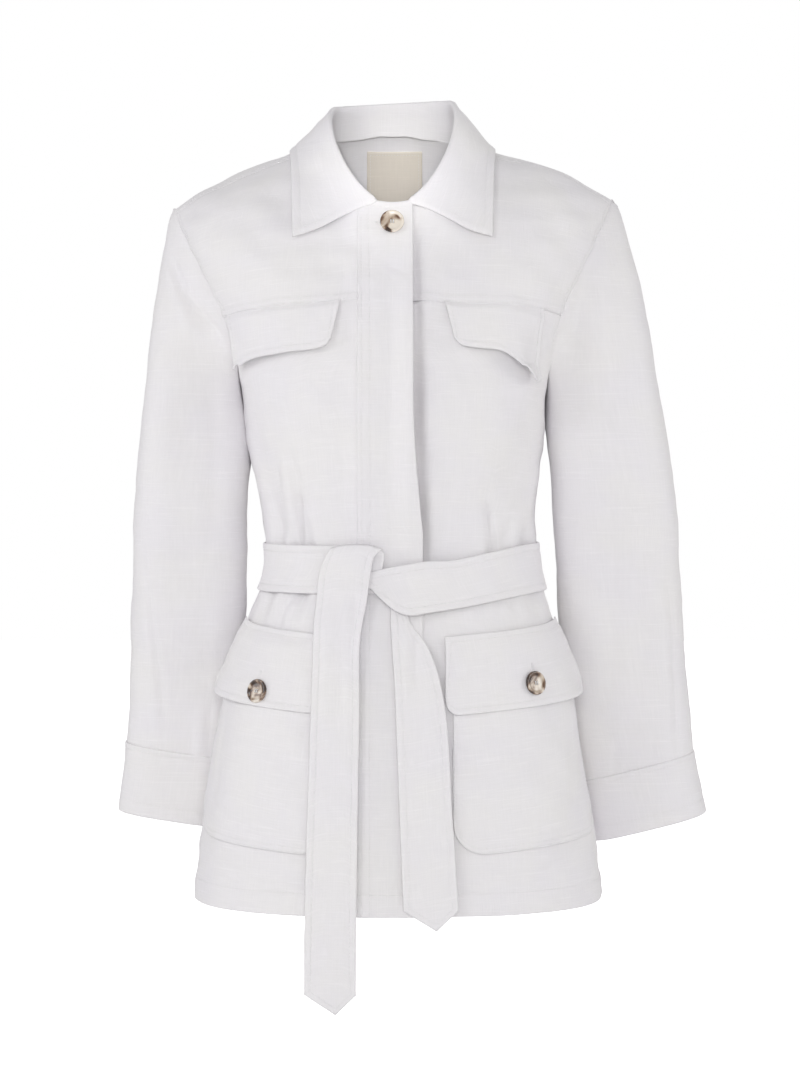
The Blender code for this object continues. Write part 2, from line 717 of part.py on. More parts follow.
def make_cuff(side_name, linen):
    side = SLEEVE_SIDE[side_name]
    rows = SLEEVE_TABLES[side_name]
    angles = np.linspace(0, 2 * math.pi, SLEEVE_COLUMNS + 1)[:-1]
    grid = np.array([[sleeve_ring(side_name, z, angle, folded=False) for angle in angles]
                     for z in np.linspace(rows[-2].z, rows[-1].z, CUFF_ROWS + 1)])
    inward = grid_normals(grid, tube=True) * side
    lap = CUFF_CLOTH - CLOTH
    add_wall(f"cuff_{side_name}", grid - inward * lap, grid + inward * CLOTH, linen, tube=True)


def collar_section(side, way):
    """The middle line of the collar's section: up the stand, over the roll and down the fall."""
    front_way = COLLAR_WAYS[0]
    share = (front_way - way) / front_way
    turn, rise = neck_place(way)
    seam = on_body(math.pi - side * turn, rise)
    normal = body_normal(math.pi - side * turn, rise)
    level = np.array((normal[0], normal[1], 0.0))
    if np.linalg.norm(level) < 0.3:
        level = np.array((side * math.sin(way), math.cos(way), 0.0))
    spread = np.array((side * math.sin(way), math.cos(way), 0.0))
    level = level / np.linalg.norm(level) + spread
    level = level / np.linalg.norm(level)
    stand = mix(COLLAR_STAND_FRONT, COLLAR_STAND_BACK, math.sin(share * math.pi / 2) ** 0.6)
    stand += COLLAR_SIDE_RISE * math.sin(math.pi * share) ** 2
    inset = COLLAR_STAND_INSET * math.sin(math.pi * share)
    up = np.array((0.0, 0.0, 1.0))
    low = seam + up * mix(COLLAR_GAP_FRONT, COLLAR_GAP_BACK, ease(share * 3))
    high = seam + up * stand - level * inset
    line = [low, mix(low, high, 0.5), high]
    centre = high + level * COLLAR_ROLL
    for bend in (0.25, 0.5, 0.75, 1.0):
        angle = bend * math.pi
        line.append(centre - level * COLLAR_ROLL * math.cos(angle) + up * COLLAR_ROLL * math.sin(angle))
    if way > math.pi / 2:
        along = (front_way - way) / (front_way - math.pi / 2)
        edge_rise = 2 - mix(COLLAR_POINT_RISE, 1, along)
        edge_x = mix(COLLAR_POINT_X, COLLAR_SHOULDER_X, along)
        edge_turn = math.pi - turn_at_x(side * edge_x, 2 - edge_rise)
    else:
        along = way / (math.pi / 2)
        edge_rise = 1 - (1 - COLLAR_BACK_RISE) * math.cos(along * math.pi / 2) ** 0.8
        edge_turn = turn_at_x(side * COLLAR_SHOULDER_X * math.sin(along * math.pi / 2), edge_rise, back=True)
    edge = on_body(edge_turn, edge_rise, COLLAR_CLEAR)
    start = line[-1]
    for v in (0.2, 0.45, 0.72, 1.0):
        point = mix(start, edge, v)
        clear_turn = mix(math.pi - side * turn, edge_turn, v)
        clear_rise = mix(rise, edge_rise, v)
        skin = on_body(clear_turn, clear_rise, COLLAR_CLEAR)
        if way > math.pi / 2:
            hug = ease(v / 0.72) * ease((way - math.pi / 2) / 0.9)
            point = mix(point, skin, hug)
        line.append(point)
    return line


def collar_end_way():
    """The way along the neckline at which the collar's front ends stand."""
    low, high = math.pi / 2, math.pi
    for _ in range(40):
        middle = (low + high) / 2
        turn, rise = neck_place(middle)
        low, high = (middle, high) if body_point(turn, 2 - rise)[0] > COLLAR_END_X else (low, middle)
    return low


COLLAR_WAYS = np.linspace(collar_end_way(), 0, COLLAR_COLUMNS + 1)


def make_collar(linen):
    lines = [collar_section(-1, way) for way in COLLAR_WAYS]
    lines += [collar_section(1, way) for way in COLLAR_WAYS[-2::-1]]
    grid = np.array(lines).transpose(1, 0, 2)
    normals = grid_normals(grid, tube=False)
    half = COLLAR_CLOTH / 2
    add_wall("collar", grid + normals * half, grid - normals * half, linen)


def corner_lift(distance, radius):
    """How far a rounded corner raises an edge at a distance from the piece's side."""
    if distance >= radius:
        return 0.0
    return radius - math.sqrt(radius**2 - (radius - distance) ** 2)


def patch_places(side, inner_x, outer_turn, top, bottom, corner, columns, rows):
    """Places of a pocket or pocket flap: straight sides, rounded lower corners, tilted up outwards."""
    middle_rise = rise_of_level((top + bottom) / 2)
    start = side * turn_at_x(side * inner_x, middle_rise)
    width = np.linalg.norm(body_point(start, middle_rise) - body_point(outer_turn, middle_rise))
    shares = [0, 0.04, 0.1, *np.linspace(0.2, 0.9, columns - 4), 0.96, 1]
    places = []
    for v in np.linspace(0, 1, rows + 1):
        row = []
        for u in shares:
            lift = corner_lift(min(u, 1 - u) * width, corner)
            z = mix(top, bottom + lift, v) + POCKET_TILT * u
            rise = rise_of_level(z)
            first = side * turn_at_x(side * inner_x, rise)
            row.append((side * mix(first, outer_turn, u), rise))
        places.append(row)
    return places


def make_pocket(name, side, linen):
    places = patch_places(
        side, POCKET_INNER_X, POCKET_OUTER_TURN, POCKET_TOP, POCKET_BOTTOM, POCKET_CORNER, columns=15, rows=6
    )
    wall_on_body(f"pocket_{name}", places, POCKET_OUT, CLOTH, linen)


def flap_out(places):
    """Distance of a flap's outside from the body: over the pocket, its outer lower corner standing away."""
    top_out = LAY_GAP + FLAP_CLOTH
    rows, columns = len(places), len(places[0])
    outs = []
    for i in range(rows):
        v = i / (rows - 1)
        over = mix(top_out, POCKET_OUT + LAY_GAP + FLAP_CLOTH, ease(v / 0.22))
        shares = np.linspace(0, 1, columns)
        outs.append([over + FLAP_LIFT * v**2 * ease((u - 0.35) / 0.65) for u in shares])
    return outs


def make_pocket_flap(name, side, linen):
    places = patch_places(
        side, FLAP_INNER_X, FLAP_OUTER_TURN, FLAP_TOP, FLAP_BOTTOM, FLAP_CORNER, columns=14, rows=4
    )
    wall_with_outs(f"pocket_flap_{name}", places, flap_out(places), FLAP_CLOTH, linen)


def make_chest_flap(name, side, linen):
    """A flap that hangs from the yoke seam, longest at its outer end."""
    drops = CHEST_FLAP_DROPS[name]
    places, outs = [], []
    rows, columns = 5, 9
    for v in np.linspace(0, 1, rows + 1):
        row, row_outs = [], []
        for u in np.linspace(0, 1, columns + 1):
            x = CHEST_FLAP_INNER_X + CHEST_FLAP_SLANT * v
            start = side * turn_at_x(side * x, YOKE_RISE_MIDDLE)
            reach = mix(CHEST_FLAP_TOP_REACH, CHEST_FLAP_LOW_REACH[name], v)
            turn = side * mix(start, reach * front_outer_turn(YOKE_RISE), u)
            top = body_point(turn, yoke_rise(turn) - 0.004)[2]
            row.append((turn, rise_at_level(turn, top - v * smooth_read(drops, "along", "drop", u))))
            lift = CHEST_FLAP_LIFT * v**2 * mix(0.4, 1.0, ease(u))
            lap = LAP_RAISE * (1 - ease(u / 0.3)) if name == "right" else 0.0
            row_outs.append(LAY_GAP + FLAP_CLOTH + lap + lift)
        places.append(row)
        outs.append(row_outs)
    wall_with_outs(f"chest_flap_{name}", places, outs, FLAP_CLOTH, linen)


def belt_out(turn):
    """Distance of the belt's outside from the waist: its left-hand front stretch rides up over the knot."""
    near = ease(1 - abs(turn) / math.radians(60)) if 0 <= turn < math.pi else 0.0
    if -math.radians(25) < turn < 0:
        near = 1.0
    return BELT_GAP + BELT_CLOTH + BELT_RIGHT_RAISE * near


def make_belt_band(linen):
    """The belt round the waist, from behind the knot on one side to in front of it on the other."""
    waist = rise_of_level(BELT_TOP - BELT_WIDTH / 2)
    start = turn_at_x(BELT_LEFT_END_X, waist)
    end = turn_at_x(BELT_RIGHT_END_X, waist)
    first = np.linspace(start, start - math.radians(80), 13)[:-1]
    rest = np.linspace(start - math.radians(80), end - 2 * math.pi + math.radians(100), 27)[:-1]
    last = np.linspace(end - 2 * math.pi + math.radians(100), end - 2 * math.pi, 13)
    outer, inner = [], []
    for v in np.linspace(0, 1, 3):
        outer_row, inner_row = [], []
        for k, turn in enumerate([*first, *rest, *last]):
            signed = math.remainder(turn, 2 * math.pi)
            arriving = k >= len(first) + len(rest)
            drop = BELT_DROP * ease(1 - signed / math.radians(70)) if arriving else 0.0
            rise = rise_of_level(BELT_TOP - drop - BELT_WIDTH * v)
            out = belt_out(signed) if arriving else BELT_GAP + BELT_CLOTH
            if k < len(first):
                out += lap_raise(turn, rise)
            outer_row.append(on_body(turn, rise, out, folded=False))
            inner_row.append(on_body(turn, rise, out - BELT_CLOTH, folded=False))
        outer.append(outer_row)
        inner.append(inner_row)
    add_wall("belt_band", outer, inner, linen)


def make_belt_end(name, steps, linen):
    """A hanging end of the belt: a strip swept along its steps, with a pointed tip."""
    line = np.array([(step.off, step.z) for step in steps])
    tangent = np.gradient(line, axis=0)
    tangent /= np.linalg.norm(tangent, axis=1, keepdims=True)
    normal = np.stack([-tangent[:, 1], tangent[:, 0]], axis=1)
    faces = []
    for reach in (BELT_CLOTH / 2, -BELT_CLOTH / 2):
        grid = []
        for i, step in enumerate(steps):
            row = []
            for u in (0, 0.3, TAIL_POINT_AT, 0.8, 1):
                off, z = line[i] + normal[i] * reach
                if i == len(steps) - 1:
                    z -= TAIL_POINT * min(u / TAIL_POINT_AT, (1 - u) / (1 - TAIL_POINT_AT))
                x = mix(step.left, step.right, u)
                row.append((x, front_depth_at(x, z) - off, z))
            grid.append(row)
        faces.append(grid)
    add_wall(name, faces[0], faces[1], linen)


def button_mesh():
    """A dished button with a raised rim, turned from its profile; its underside is at z 0."""
    profile = (
        (BUTTON_RADIUS - 0.0012, 0.0),
        (BUTTON_RADIUS, BUTTON_HEIGHT * 0.4),
        (BUTTON_RADIUS - 0.0006, BUTTON_HEIGHT * 0.92),
        (BUTTON_RADIUS - BUTTON_RIM / 2, BUTTON_HEIGHT),
        (BUTTON_RADIUS - BUTTON_RIM, BUTTON_HEIGHT - BUTTON_DISH * 0.6),
        (BUTTON_RADIUS - BUTTON_RIM - 0.0012, BUTTON_HEIGHT - BUTTON_DISH),
    )
    points, faces = [], []
    for radius, height in profile:
        for k in range(BUTTON_SIDES):
            angle = 2 * math.pi * k / BUTTON_SIDES
            points.append((radius * math.cos(angle), radius * math.sin(angle), height))
    for i in range(len(profile) - 1):
        for k in range(BUTTON_SIDES):
            n = (k + 1) % BUTTON_SIDES
            faces.append((i * BUTTON_SIDES + k, i * BUTTON_SIDES + n,
                          (i + 1) * BUTTON_SIDES + n, (i + 1) * BUTTON_SIDES + k))
    faces.append(tuple(range(BUTTON_SIDES))[::-1])
    faces.append(tuple(range((len(profile) - 1) * BUTTON_SIDES, len(profile) * BUTTON_SIDES)))
    return points, faces


def make_button(name, seat, normal, horn):
    """A button on its seat, with four sewing holes cut through it."""
    points, faces = button_mesh()
    button = add_object(name, points, faces, horn)
    across = np.cross((0.0, 0.0, 1.0), normal)
    across /= np.linalg.norm(across)
    upward = np.cross(normal, across)
    place = np.eye(4)
    place[:3, :3] = np.stack([across, upward, normal], axis=1)
    place[:3, 3] = seat
    button.matrix_world = Matrix(place.tolist())
    for k in range(4):
        angle = math.pi / 4 + k * math.pi / 2
        hole_points = []
        for z in (-0.002, BUTTON_HEIGHT + 0.002):
            for n in range(6):
                turn = 2 * math.pi * n / 6
                hole_points.append((
                    BUTTON_HOLE_SPACING * math.cos(angle) + BUTTON_HOLE_RADIUS * math.cos(turn),
                    BUTTON_HOLE_SPACING * math.sin(angle) + BUTTON_HOLE_RADIUS * math.sin(turn),
                    z,
                ))
        hole_faces = [(n, (n + 1) % 6, 6 + (n + 1) % 6, 6 + n) for n in range(6)]
        hole_faces += [tuple(range(6))[::-1], tuple(range(6, 12))]
        cutter = add_object(f"{name}_hole_{k}", hole_points, hole_faces, horn)
        cutter.matrix_world = button.matrix_world
        cutter.hide_render = True
        cutter.display_type = "WIRE"
        cut = button.modifiers.new(f"hole_{k}", "BOOLEAN")
        cut.operation = "DIFFERENCE"
        cut.object = cutter


def make_buttons(horn):
    x, z = TOP_BUTTON
    turn = turn_at_x(x, NECK_FRONT_RISE)
    rise = rise_at_level(turn, z)
    turn = turn_at_x(x, rise)
    seat = on_body(turn, rise, PLACKET_OUT + LAY_GAP, folded=False)
    make_button("button_top", seat, body_normal(turn, rise), horn)
    for name, side in SLEEVE_SIDE.items():
        rise = rise_of_level(POCKET_BUTTON_Z[name])
        turn = turn_at_x(POCKET_BUTTON_X[name], rise)
        seat = on_body(turn, rise, POCKET_OUT + LAY_GAP + FLAP_CLOTH + POCKET_BUTTON_GAP)
        make_button(f"button_pocket_{name}", seat, body_normal(turn, rise), horn)


def make_label(finish):
    """The neck label, laid on the inside of the back."""
    places = []
    for z in np.linspace(LABEL_BOTTOM, LABEL_TOP, 6):
        rise = rise_at_level(math.pi, z)
        across = np.linspace(LABEL_RIGHT_X, LABEL_LEFT_X, 7)
        places.append([(turn_at_x(x, rise, back=True), rise) for x in across])
    wall_on_body("neck_label", places, -CLOTH - LABEL_GAP, LABEL_CLOTH, finish)


def main():
    for obj in list(bpy.data.objects):
        bpy.data.objects.remove(obj)
    linen = material("linen", LINEN, 0.9)
    horn = material("horn", HORN, 0.3)
    label = material("label_cloth", LINEN_LABEL, 0.9)
    make_body(linen)
    for name, side in SLEEVE_SIDE.items():
        make_sleeve(name, linen)
        make_cuff(name, linen)
        make_pocket(name, side, linen)
        make_pocket_flap(name, side, linen)
        make_chest_flap(name, side, linen)
    make_collar(linen)
    make_belt_band(linen)
    make_belt_end("belt_end_long", LEFT_TAIL, linen)
    make_belt_end("belt_end_short", RIGHT_TAIL, linen)
    make_buttons(horn)
    make_label(label)


main()
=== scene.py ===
import math
from collections import namedtuple

import bpy
import numpy as np
from mathutils import Matrix, Vector


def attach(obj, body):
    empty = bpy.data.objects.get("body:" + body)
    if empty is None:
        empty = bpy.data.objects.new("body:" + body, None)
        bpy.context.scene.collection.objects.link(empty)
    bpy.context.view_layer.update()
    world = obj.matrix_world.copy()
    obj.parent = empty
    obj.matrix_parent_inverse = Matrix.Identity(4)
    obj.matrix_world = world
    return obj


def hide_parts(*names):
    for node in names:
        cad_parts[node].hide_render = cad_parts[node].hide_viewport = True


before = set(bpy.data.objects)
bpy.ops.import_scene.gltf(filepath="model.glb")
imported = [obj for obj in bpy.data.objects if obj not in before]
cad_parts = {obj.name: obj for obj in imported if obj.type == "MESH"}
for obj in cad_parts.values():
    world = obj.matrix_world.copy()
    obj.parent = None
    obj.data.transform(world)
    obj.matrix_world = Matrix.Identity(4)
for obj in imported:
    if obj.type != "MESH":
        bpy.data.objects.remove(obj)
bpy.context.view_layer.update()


def show(name, data):
    thing = bpy.data.objects.new(name, data)
    bpy.context.scene.collection.objects.link(thing)
    return thing


print("camera")
photoView = dict(place=(0.007, -2.6, -0.30), aim=(0.007, 0.0, -0.383), focalPixels=2600, longSidePixels=1067,
                 sensor=36)
cameraData = bpy.data.cameras.new("photoCamera")
cameraData.sensor_width = photoView["sensor"]
cameraData.lens = photoView["sensor"] * photoView["focalPixels"] / photoView["longSidePixels"]
camera = show("photoCamera", cameraData)
camera.location = photoView["place"]
camera.rotation_euler = (Vector(photoView["aim"]) - camera.location).to_track_quat("-Z", "Y").to_euler()
bpy.context.scene.camera = camera

print("form of the jacket")
# metres; the front faces -Y, and right and left are the wearer's
cloth = dict(body=0.0012, placket=0.0015, collar=0.0018, cuff=0.0020, flap=0.0016, belt=0.0018, label=0.0010,
             seamGap=0.0003, layGap=0.0008)
form = dict(hemZ=-0.742, underarmZ=-0.215, squareFront=2.5, squareBack=2.1, squareShoulder=3.6,
            shoulderSpread=1.406, ridgeY=0.012, frontLean=1.5, backLean=1.0, leanEndsX=0.110,
            leftLift=0.009, leftLiftFrom=0.060, leftLiftTo=0.190)
bodySections = dict(
    z=(-0.744, -0.680, -0.600, -0.530, -0.470, -0.415, -0.370, -0.300, -0.215),
    halfWidth=(0.2045, 0.1960, 0.1830, 0.1705, 0.1530, 0.1360, 0.1345, 0.1450, 0.1560),
    front=(0.150, 0.146, 0.138, 0.129, 0.119, 0.108, 0.109, 0.117, 0.122),
    back=(0.143, 0.138, 0.131, 0.123, 0.112, 0.100, 0.100, 0.107, 0.115),
    centreX=(0.005, 0.005, 0.004, 0.006, 0.0075, 0.0095, 0.0060, 0.0030, 0.000),
)
ridge = dict(
    x=(0.000, 0.016, 0.040, 0.072, 0.100, 0.150, 0.200, 0.218),
    z=(0.0540, 0.0535, 0.0400, 0.0120, -0.004, -0.023, -0.046, -0.058),
)
yoke = dict(rise=0.175, middleRise=0.140, levelsAt=math.radians(45), seam=0.0009, shoulderSeam=0.82,
            shoulderGap=0.0045)
armhole = dict(shoulderTurn=math.radians(6), frontScoop=math.radians(20), backScoop=math.radians(17),
               skew=0.42, fullness=0.8)
neck = dict(turn=math.radians(23), frontRise=0.385, backRise=0.70, square=2.6)
beltSizes = dict(width=0.046, top=-0.392, drop=0.020, leftEndX=-0.034, rightEndX=-0.030, rightRaise=0.0070,
                 gap=0.0010)
waistZ = beltSizes["top"] - beltSizes["width"] / 2

Fold = namedtuple("Fold", "turn depth width reachUp reachDown")  # gathers at the waist, in degrees and metres
waistFolds = [Fold(*row) for row in (
    (-64, 0.0045, 4.0, 0.085, 0.050), (-53, 0.0040, 2.6, 0.070, 0.030), (-46, 0.0065, 3.0, 0.060, 0.052),
    (-33, 0.0020, 2.2, 0.022, 0.020), (44, 0.0055, 2.6, 0.036, 0.030), (52, 0.0030, 3.5, 0.050, 0.040),
    (66, 0.0045, 5.0, 0.070, 0.045), (118, 0.0045, 4.0, 0.060, 0.060), (133, 0.0030, 3.0, 0.040, 0.035),
    (148, 0.0055, 4.5, 0.080, 0.070), (171, 0.0030, 3.2, 0.045, 0.055), (197, 0.0040, 3.6, 0.060, 0.040),
    (216, 0.0055, 4.6, 0.075, 0.065), (241, 0.0045, 5.0, 0.055, 0.060),
)]


def ease(t):
    t = np.clip(t, 0.0, 1.0)
    return t * t * (3 - 2 * t)


def mix(a, b, t):
    return a + (b - a) * t


def smoothRead(table, key, column, at):
    keys, values = np.array(table[key]), np.array(table[column])
    if keys[0] > keys[-1]:
        keys, values = keys[::-1], values[::-1]
    at = np.clip(at, keys[0], keys[-1])
    i = np.clip(np.searchsorted(keys, at) - 1, 0, len(keys) - 2)
    steps = np.diff(keys)
    slopes = np.diff(values) / steps
    bends = np.concatenate([slopes[:1], (slopes[:-1] + slopes[1:]) / 2, slopes[-1:]])
    t = (at - keys[i]) / steps[i]
    level = values[i] * (1 + 2 * t) * (1 - t) ** 2 + values[i + 1] * t * t * (3 - 2 * t)
    return level + steps[i] * t * (1 - t) * (bends[i] * (1 - t) - bends[i + 1] * t)


def riseOfLevel(z):  # -1 at the hem, 0 at the underarm, 1 on the shoulder's ridge
    return (z - form["underarmZ"]) / (form["underarmZ"] - form["hemZ"])


def levelOfRise(rise):
    return form["underarmZ"] + rise * (form["underarmZ"] - form["hemZ"])


def squareness(rise, front):
    up = np.sin(np.clip(rise, 0, 1) * math.pi / 2)
    return mix(np.where(front, form["squareFront"], form["squareBack"]), form["squareShoulder"], up)


def sectionAt(rise):
    z = levelOfRise(np.minimum(rise, 0))
    return [smoothRead(bodySections, "z", column, z) for column in ("halfWidth", "front", "back", "centreX")]


def ridgeHeight(x):
    lift = form["leftLift"] * ease((x - form["leftLiftFrom"]) / (form["leftLiftTo"] - form["leftLiftFrom"]))
    return smoothRead(ridge, "x", "z", np.abs(x)) + lift


def ringPoint(turn, rise):
    halfWidth, front, back, _ = sectionAt(rise)
    across, along = np.sin(turn), np.cos(turn)
    depth, square = np.where(along > 0, front, back), squareness(rise, along > 0)
    radius = (np.abs(across / halfWidth) ** square + np.abs(along / depth) ** square) ** (-1 / square)
    return radius * across, -radius * along


def bodyPoint(turn, rise):
    turn, rise = np.broadcast_arrays(np.asarray(turn, float), np.asarray(rise, float))
    over = rise > 1  # past the ridge the surface goes on down the other side
    turn, rise = np.where(over, math.pi - turn, turn), np.where(over, 2 - rise, rise)
    x, y = ringPoint(turn, rise)
    up, low = np.sin(np.clip(rise, 0, 1) * math.pi / 2), np.cos(np.clip(rise, 0, 1) * math.pi / 2)
    lean = mix(np.where(y < 0, form["frontLean"], form["backLean"]), 1.0, ease(np.abs(x) / form["leanEndsX"]))
    peak = ridgeHeight(x * form["shoulderSpread"])
    above = rise > 0
    return np.stack([
        np.where(above, x * mix(1, form["shoulderSpread"], up), x + sectionAt(rise)[3]),
        np.where(above, form["ridgeY"] + (y - form["ridgeY"]) * np.maximum(low, 0) ** lean, y),
        np.where(above, form["underarmZ"] + (peak - form["underarmZ"]) * up, levelOfRise(rise)),
    ], axis=-1)


def unit(v):
    return v / np.maximum(np.linalg.norm(v, axis=-1, keepdims=True), 1e-12)


def bodyNormal(turn, rise):
    step = 0.002
    along = bodyPoint(turn + step, rise) - bodyPoint(turn - step, rise)
    return unit(np.cross(along, bodyPoint(turn, rise + step) - bodyPoint(turn, rise - step)))


def foldDepth(turn, rise):
    z, total = levelOfRise(rise), 0.0
    for fold in waistFolds:
        apart = (turn - math.radians(fold.turn) + math.pi) % (2 * math.pi) - math.pi
        reach = np.where(z > waistZ, fold.reachUp, fold.reachDown)
        near = np.exp(-(apart / math.radians(fold.width)) ** 2 - ((z - waistZ) / reach) ** 2)
        total = total + fold.depth * near
    return np.where(rise > 0, 0.0, total)


def onBody(turn, rise, out=0.0, folded=True):
    drawn = foldDepth(turn, rise) if folded else 0.0
    return bodyPoint(turn, rise) + bodyNormal(turn, rise) * np.asarray(out - drawn)[..., None]


def turnAtX(x, rise, back=False):
    halfWidth, front, behind, centre = sectionAt(rise)
    up = np.sin(np.clip(rise, 0, 1) * math.pi / 2)
    x = (x - np.where(np.asarray(rise) <= 0, centre, 0)) / mix(1, form["shoulderSpread"], up)
    square = squareness(rise, not back)
    inward = 1 - np.minimum(np.abs(x / halfWidth), 0.9999) ** square
    y = (behind if back else front) * inward ** (1 / square)
    return np.arctan2(x, -y) % (2 * math.pi) if back else np.arctan2(x, y)


def riseAtLevel(turn, z):
    rise = np.zeros(np.broadcast(turn, z).shape)
    for _ in range(12):
        x, _ = ringPoint(turn, rise)
        share = (z - form["underarmZ"]) / (ridgeHeight(x * form["shoulderSpread"]) - form["underarmZ"])
        rise = np.arcsin(np.clip(share, 0, 1)) * 2 / math.pi
    return np.where(z <= form["underarmZ"], riseOfLevel(z), rise)


def frontDepthAt(x, z):
    rise = riseOfLevel(np.maximum(z, form["hemZ"]))
    return bodyPoint(turnAtX(x, rise), rise)[..., 1]


def armholeTurn(rise, scoop):
    rise = np.clip(rise, 0, 1)
    scooped = scoop * np.maximum(np.sin(math.pi * rise ** armhole["skew"]), 0) ** armhole["fullness"]
    return math.pi / 2 - armhole["shoulderTurn"] * rise - scooped


def yokeRise(turn):
    return mix(yoke["middleRise"], yoke["rise"], ease(np.abs(turn) / yoke["levelsAt"]))


sideTurn = math.pi / 2 - 0.001  # the side seam


def frontOuterTurn(rise):
    return np.where(np.asarray(rise) <= 0, sideTurn, armholeTurn(rise, armhole["frontScoop"]))


def backOuterTurn(rise):
    past = np.where(np.asarray(rise) <= 1, armholeTurn(rise, armhole["backScoop"]),
                    armholeTurn(2 - np.asarray(rise), armhole["frontScoop"]))
    return np.where(np.asarray(rise) <= 0, sideTurn, past)


def neckRise(turn, lowest):
    share = np.minimum(np.abs(turn) / neck["turn"], 1.0)
    return 1 - (1 - lowest) * (1 - share ** neck["square"]) ** (1 / neck["square"])


def neckPlace(way):
    lowest = np.where(way < math.pi / 2, neck["backRise"], neck["frontRise"])
    across = np.abs(np.sin(way)) ** (2 / neck["square"])
    drop = (1 - lowest) * np.abs(np.cos(way)) ** (2 / neck["square"])
    return neck["turn"] * across, np.where(way < math.pi / 2, 1 - drop, 1 + drop)


neckSeamDrop = (1 - yoke["shoulderSeam"]) / (1 - neck["frontRise"])
neckSeamTurn = neck["turn"] * (1 - neckSeamDrop ** neck["square"]) ** (1 / neck["square"])
neckSeamWay = math.pi / 2 + math.asin(neckSeamDrop ** (neck["square"] / 2))

print("cloth tools")
Crease = namedtuple("Crease", "fromA fromB toA toB bow width depth")  # on two coordinates, in metres
creaseEnds = dict(flat=0.3, run=0.17)  # shares of its length, from the middle


def creaseHeight(a, b, creases):
    total = np.zeros(np.broadcast(a, b).shape)
    for crease in (Crease(*row) for row in creases):
        runA, runB = crease.toA - crease.fromA, crease.toB - crease.fromB
        length = math.hypot(runA, runB)
        along = ((a - crease.fromA) * runA + (b - crease.fromB) * runB) / length ** 2
        off = ((b - crease.fromB) * runA - (a - crease.fromA) * runB) / length
        off = off - crease.bow * 4 * along * (1 - along)
        fade = np.exp(-(np.maximum(np.abs(along - 0.5) - creaseEnds["flat"], 0) / creaseEnds["run"]) ** 2)
        total = total + crease.depth * np.exp(-(off / crease.width) ** 2) * fade
    return total


waves = dict(seed=7, sizes=(0.11, 0.085, 0.07, 0.055, 0.043, 0.034, 0.027, 0.021), bend=0.9, bendsPerMetre=23)
waveSource = np.random.default_rng(waves["seed"])
waveTable = [(unit(waveSource.normal(size=3)), waveSource.uniform(0, 6.28), size) for size in waves["sizes"]]


def softWaves(points, height):  # an uneven swell, the same for pieces that lie on each other
    total = np.zeros(points.shape[:-1])
    for way, phase, size in waveTable:
        bend = waves["bend"] * np.sin(points[..., 2] * waves["bendsPerMetre"] + phase)
        total += np.sin(points @ way * (2 * math.pi / size) + phase + bend) * size
    return height * total / waves["sizes"][0]


def gridNormals(grid, inside, tube=False):
    along = np.roll(grid, -1, 1) - np.roll(grid, 1, 1) if tube else np.gradient(grid, axis=1)
    normals = unit(np.cross(along, np.gradient(grid, axis=0)))
    return normals if np.sum(normals * (grid - inside)) > 0 else -normals


def edgeDistances(grid):
    across = np.linalg.norm(np.diff(grid, axis=1), axis=2)
    left = np.concatenate([np.zeros((len(grid), 1)), np.cumsum(across, axis=1)], axis=1)
    along = np.linalg.norm(np.diff(grid, axis=0), axis=2)
    low = np.concatenate([np.zeros((1, grid.shape[1])), np.cumsum(along, axis=0)])
    return dict(left=left, right=left[:, -1:] - left, low=low, high=low[-1:] - low)


weltShape = dict(lean=0.9, fullness=0.6, dent=0.00032, dentWidth=0.0016)


def welt(distance, at, height=0.0006):  # a folded edge, full up to its stitch line and drawn in along it
    full = height * np.sqrt(np.clip(1 - (2 * np.clip(distance / at, 0, 1) - weltShape["lean"]) ** 2, 0, 1))
    dent = weltShape["dent"] * np.exp(-((distance - at) / weltShape["dentWidth"]) ** 2)
    return weltShape["fullness"] * full - dent


def edgeWelts(distance, at, height, edges):
    return welt(np.min([distance[edge] for edge in edges], axis=0), at, height)


def runLengths(line):
    return np.concatenate([[0], np.cumsum(np.linalg.norm(np.diff(line, axis=0), axis=1))])


def insetLine(grid, normals, side, inset, lift=0.0002, trim=(0.0, 0.0)):
    if side in ("low", "high"):
        grid, normals = grid.transpose(1, 0, 2), normals.transpose(1, 0, 2)
    if side in ("right", "high"):
        grid, normals = grid[:, ::-1], normals[:, ::-1]
    line = []
    for row, rowNormals in zip(grid, normals):
        reach = runLengths(row)
        spot, away = (np.array([np.interp(inset, reach, part) for part in values.T])
                      for values in (row, rowNormals))
        line.append(spot + lift * unit(away))
    line = np.array(line)
    gone = runLengths(line)
    return line[(gone >= trim[0]) & (gone <= gone[-1] - trim[1])]


def evened(grid, share, passes):  # each row drawn toward the middle of its neighbours
    for _ in range(passes):
        grid[1:-1] = mix(grid[1:-1], (grid[:-2] + grid[2:]) / 2, share)
    return grid


stitchLines = {}


def sew(group, *lines):
    stitchLines.setdefault(group, []).extend(lines)


whole = (0.0, 0.0)


def sewEdges(group, grid, normals, inset, **trims):  # a row along each edge, less its trims
    sew(group, *(insetLine(grid, normals, side, inset, trim=trim) for side, trim in trims.items()))


rimFullness = 0.45


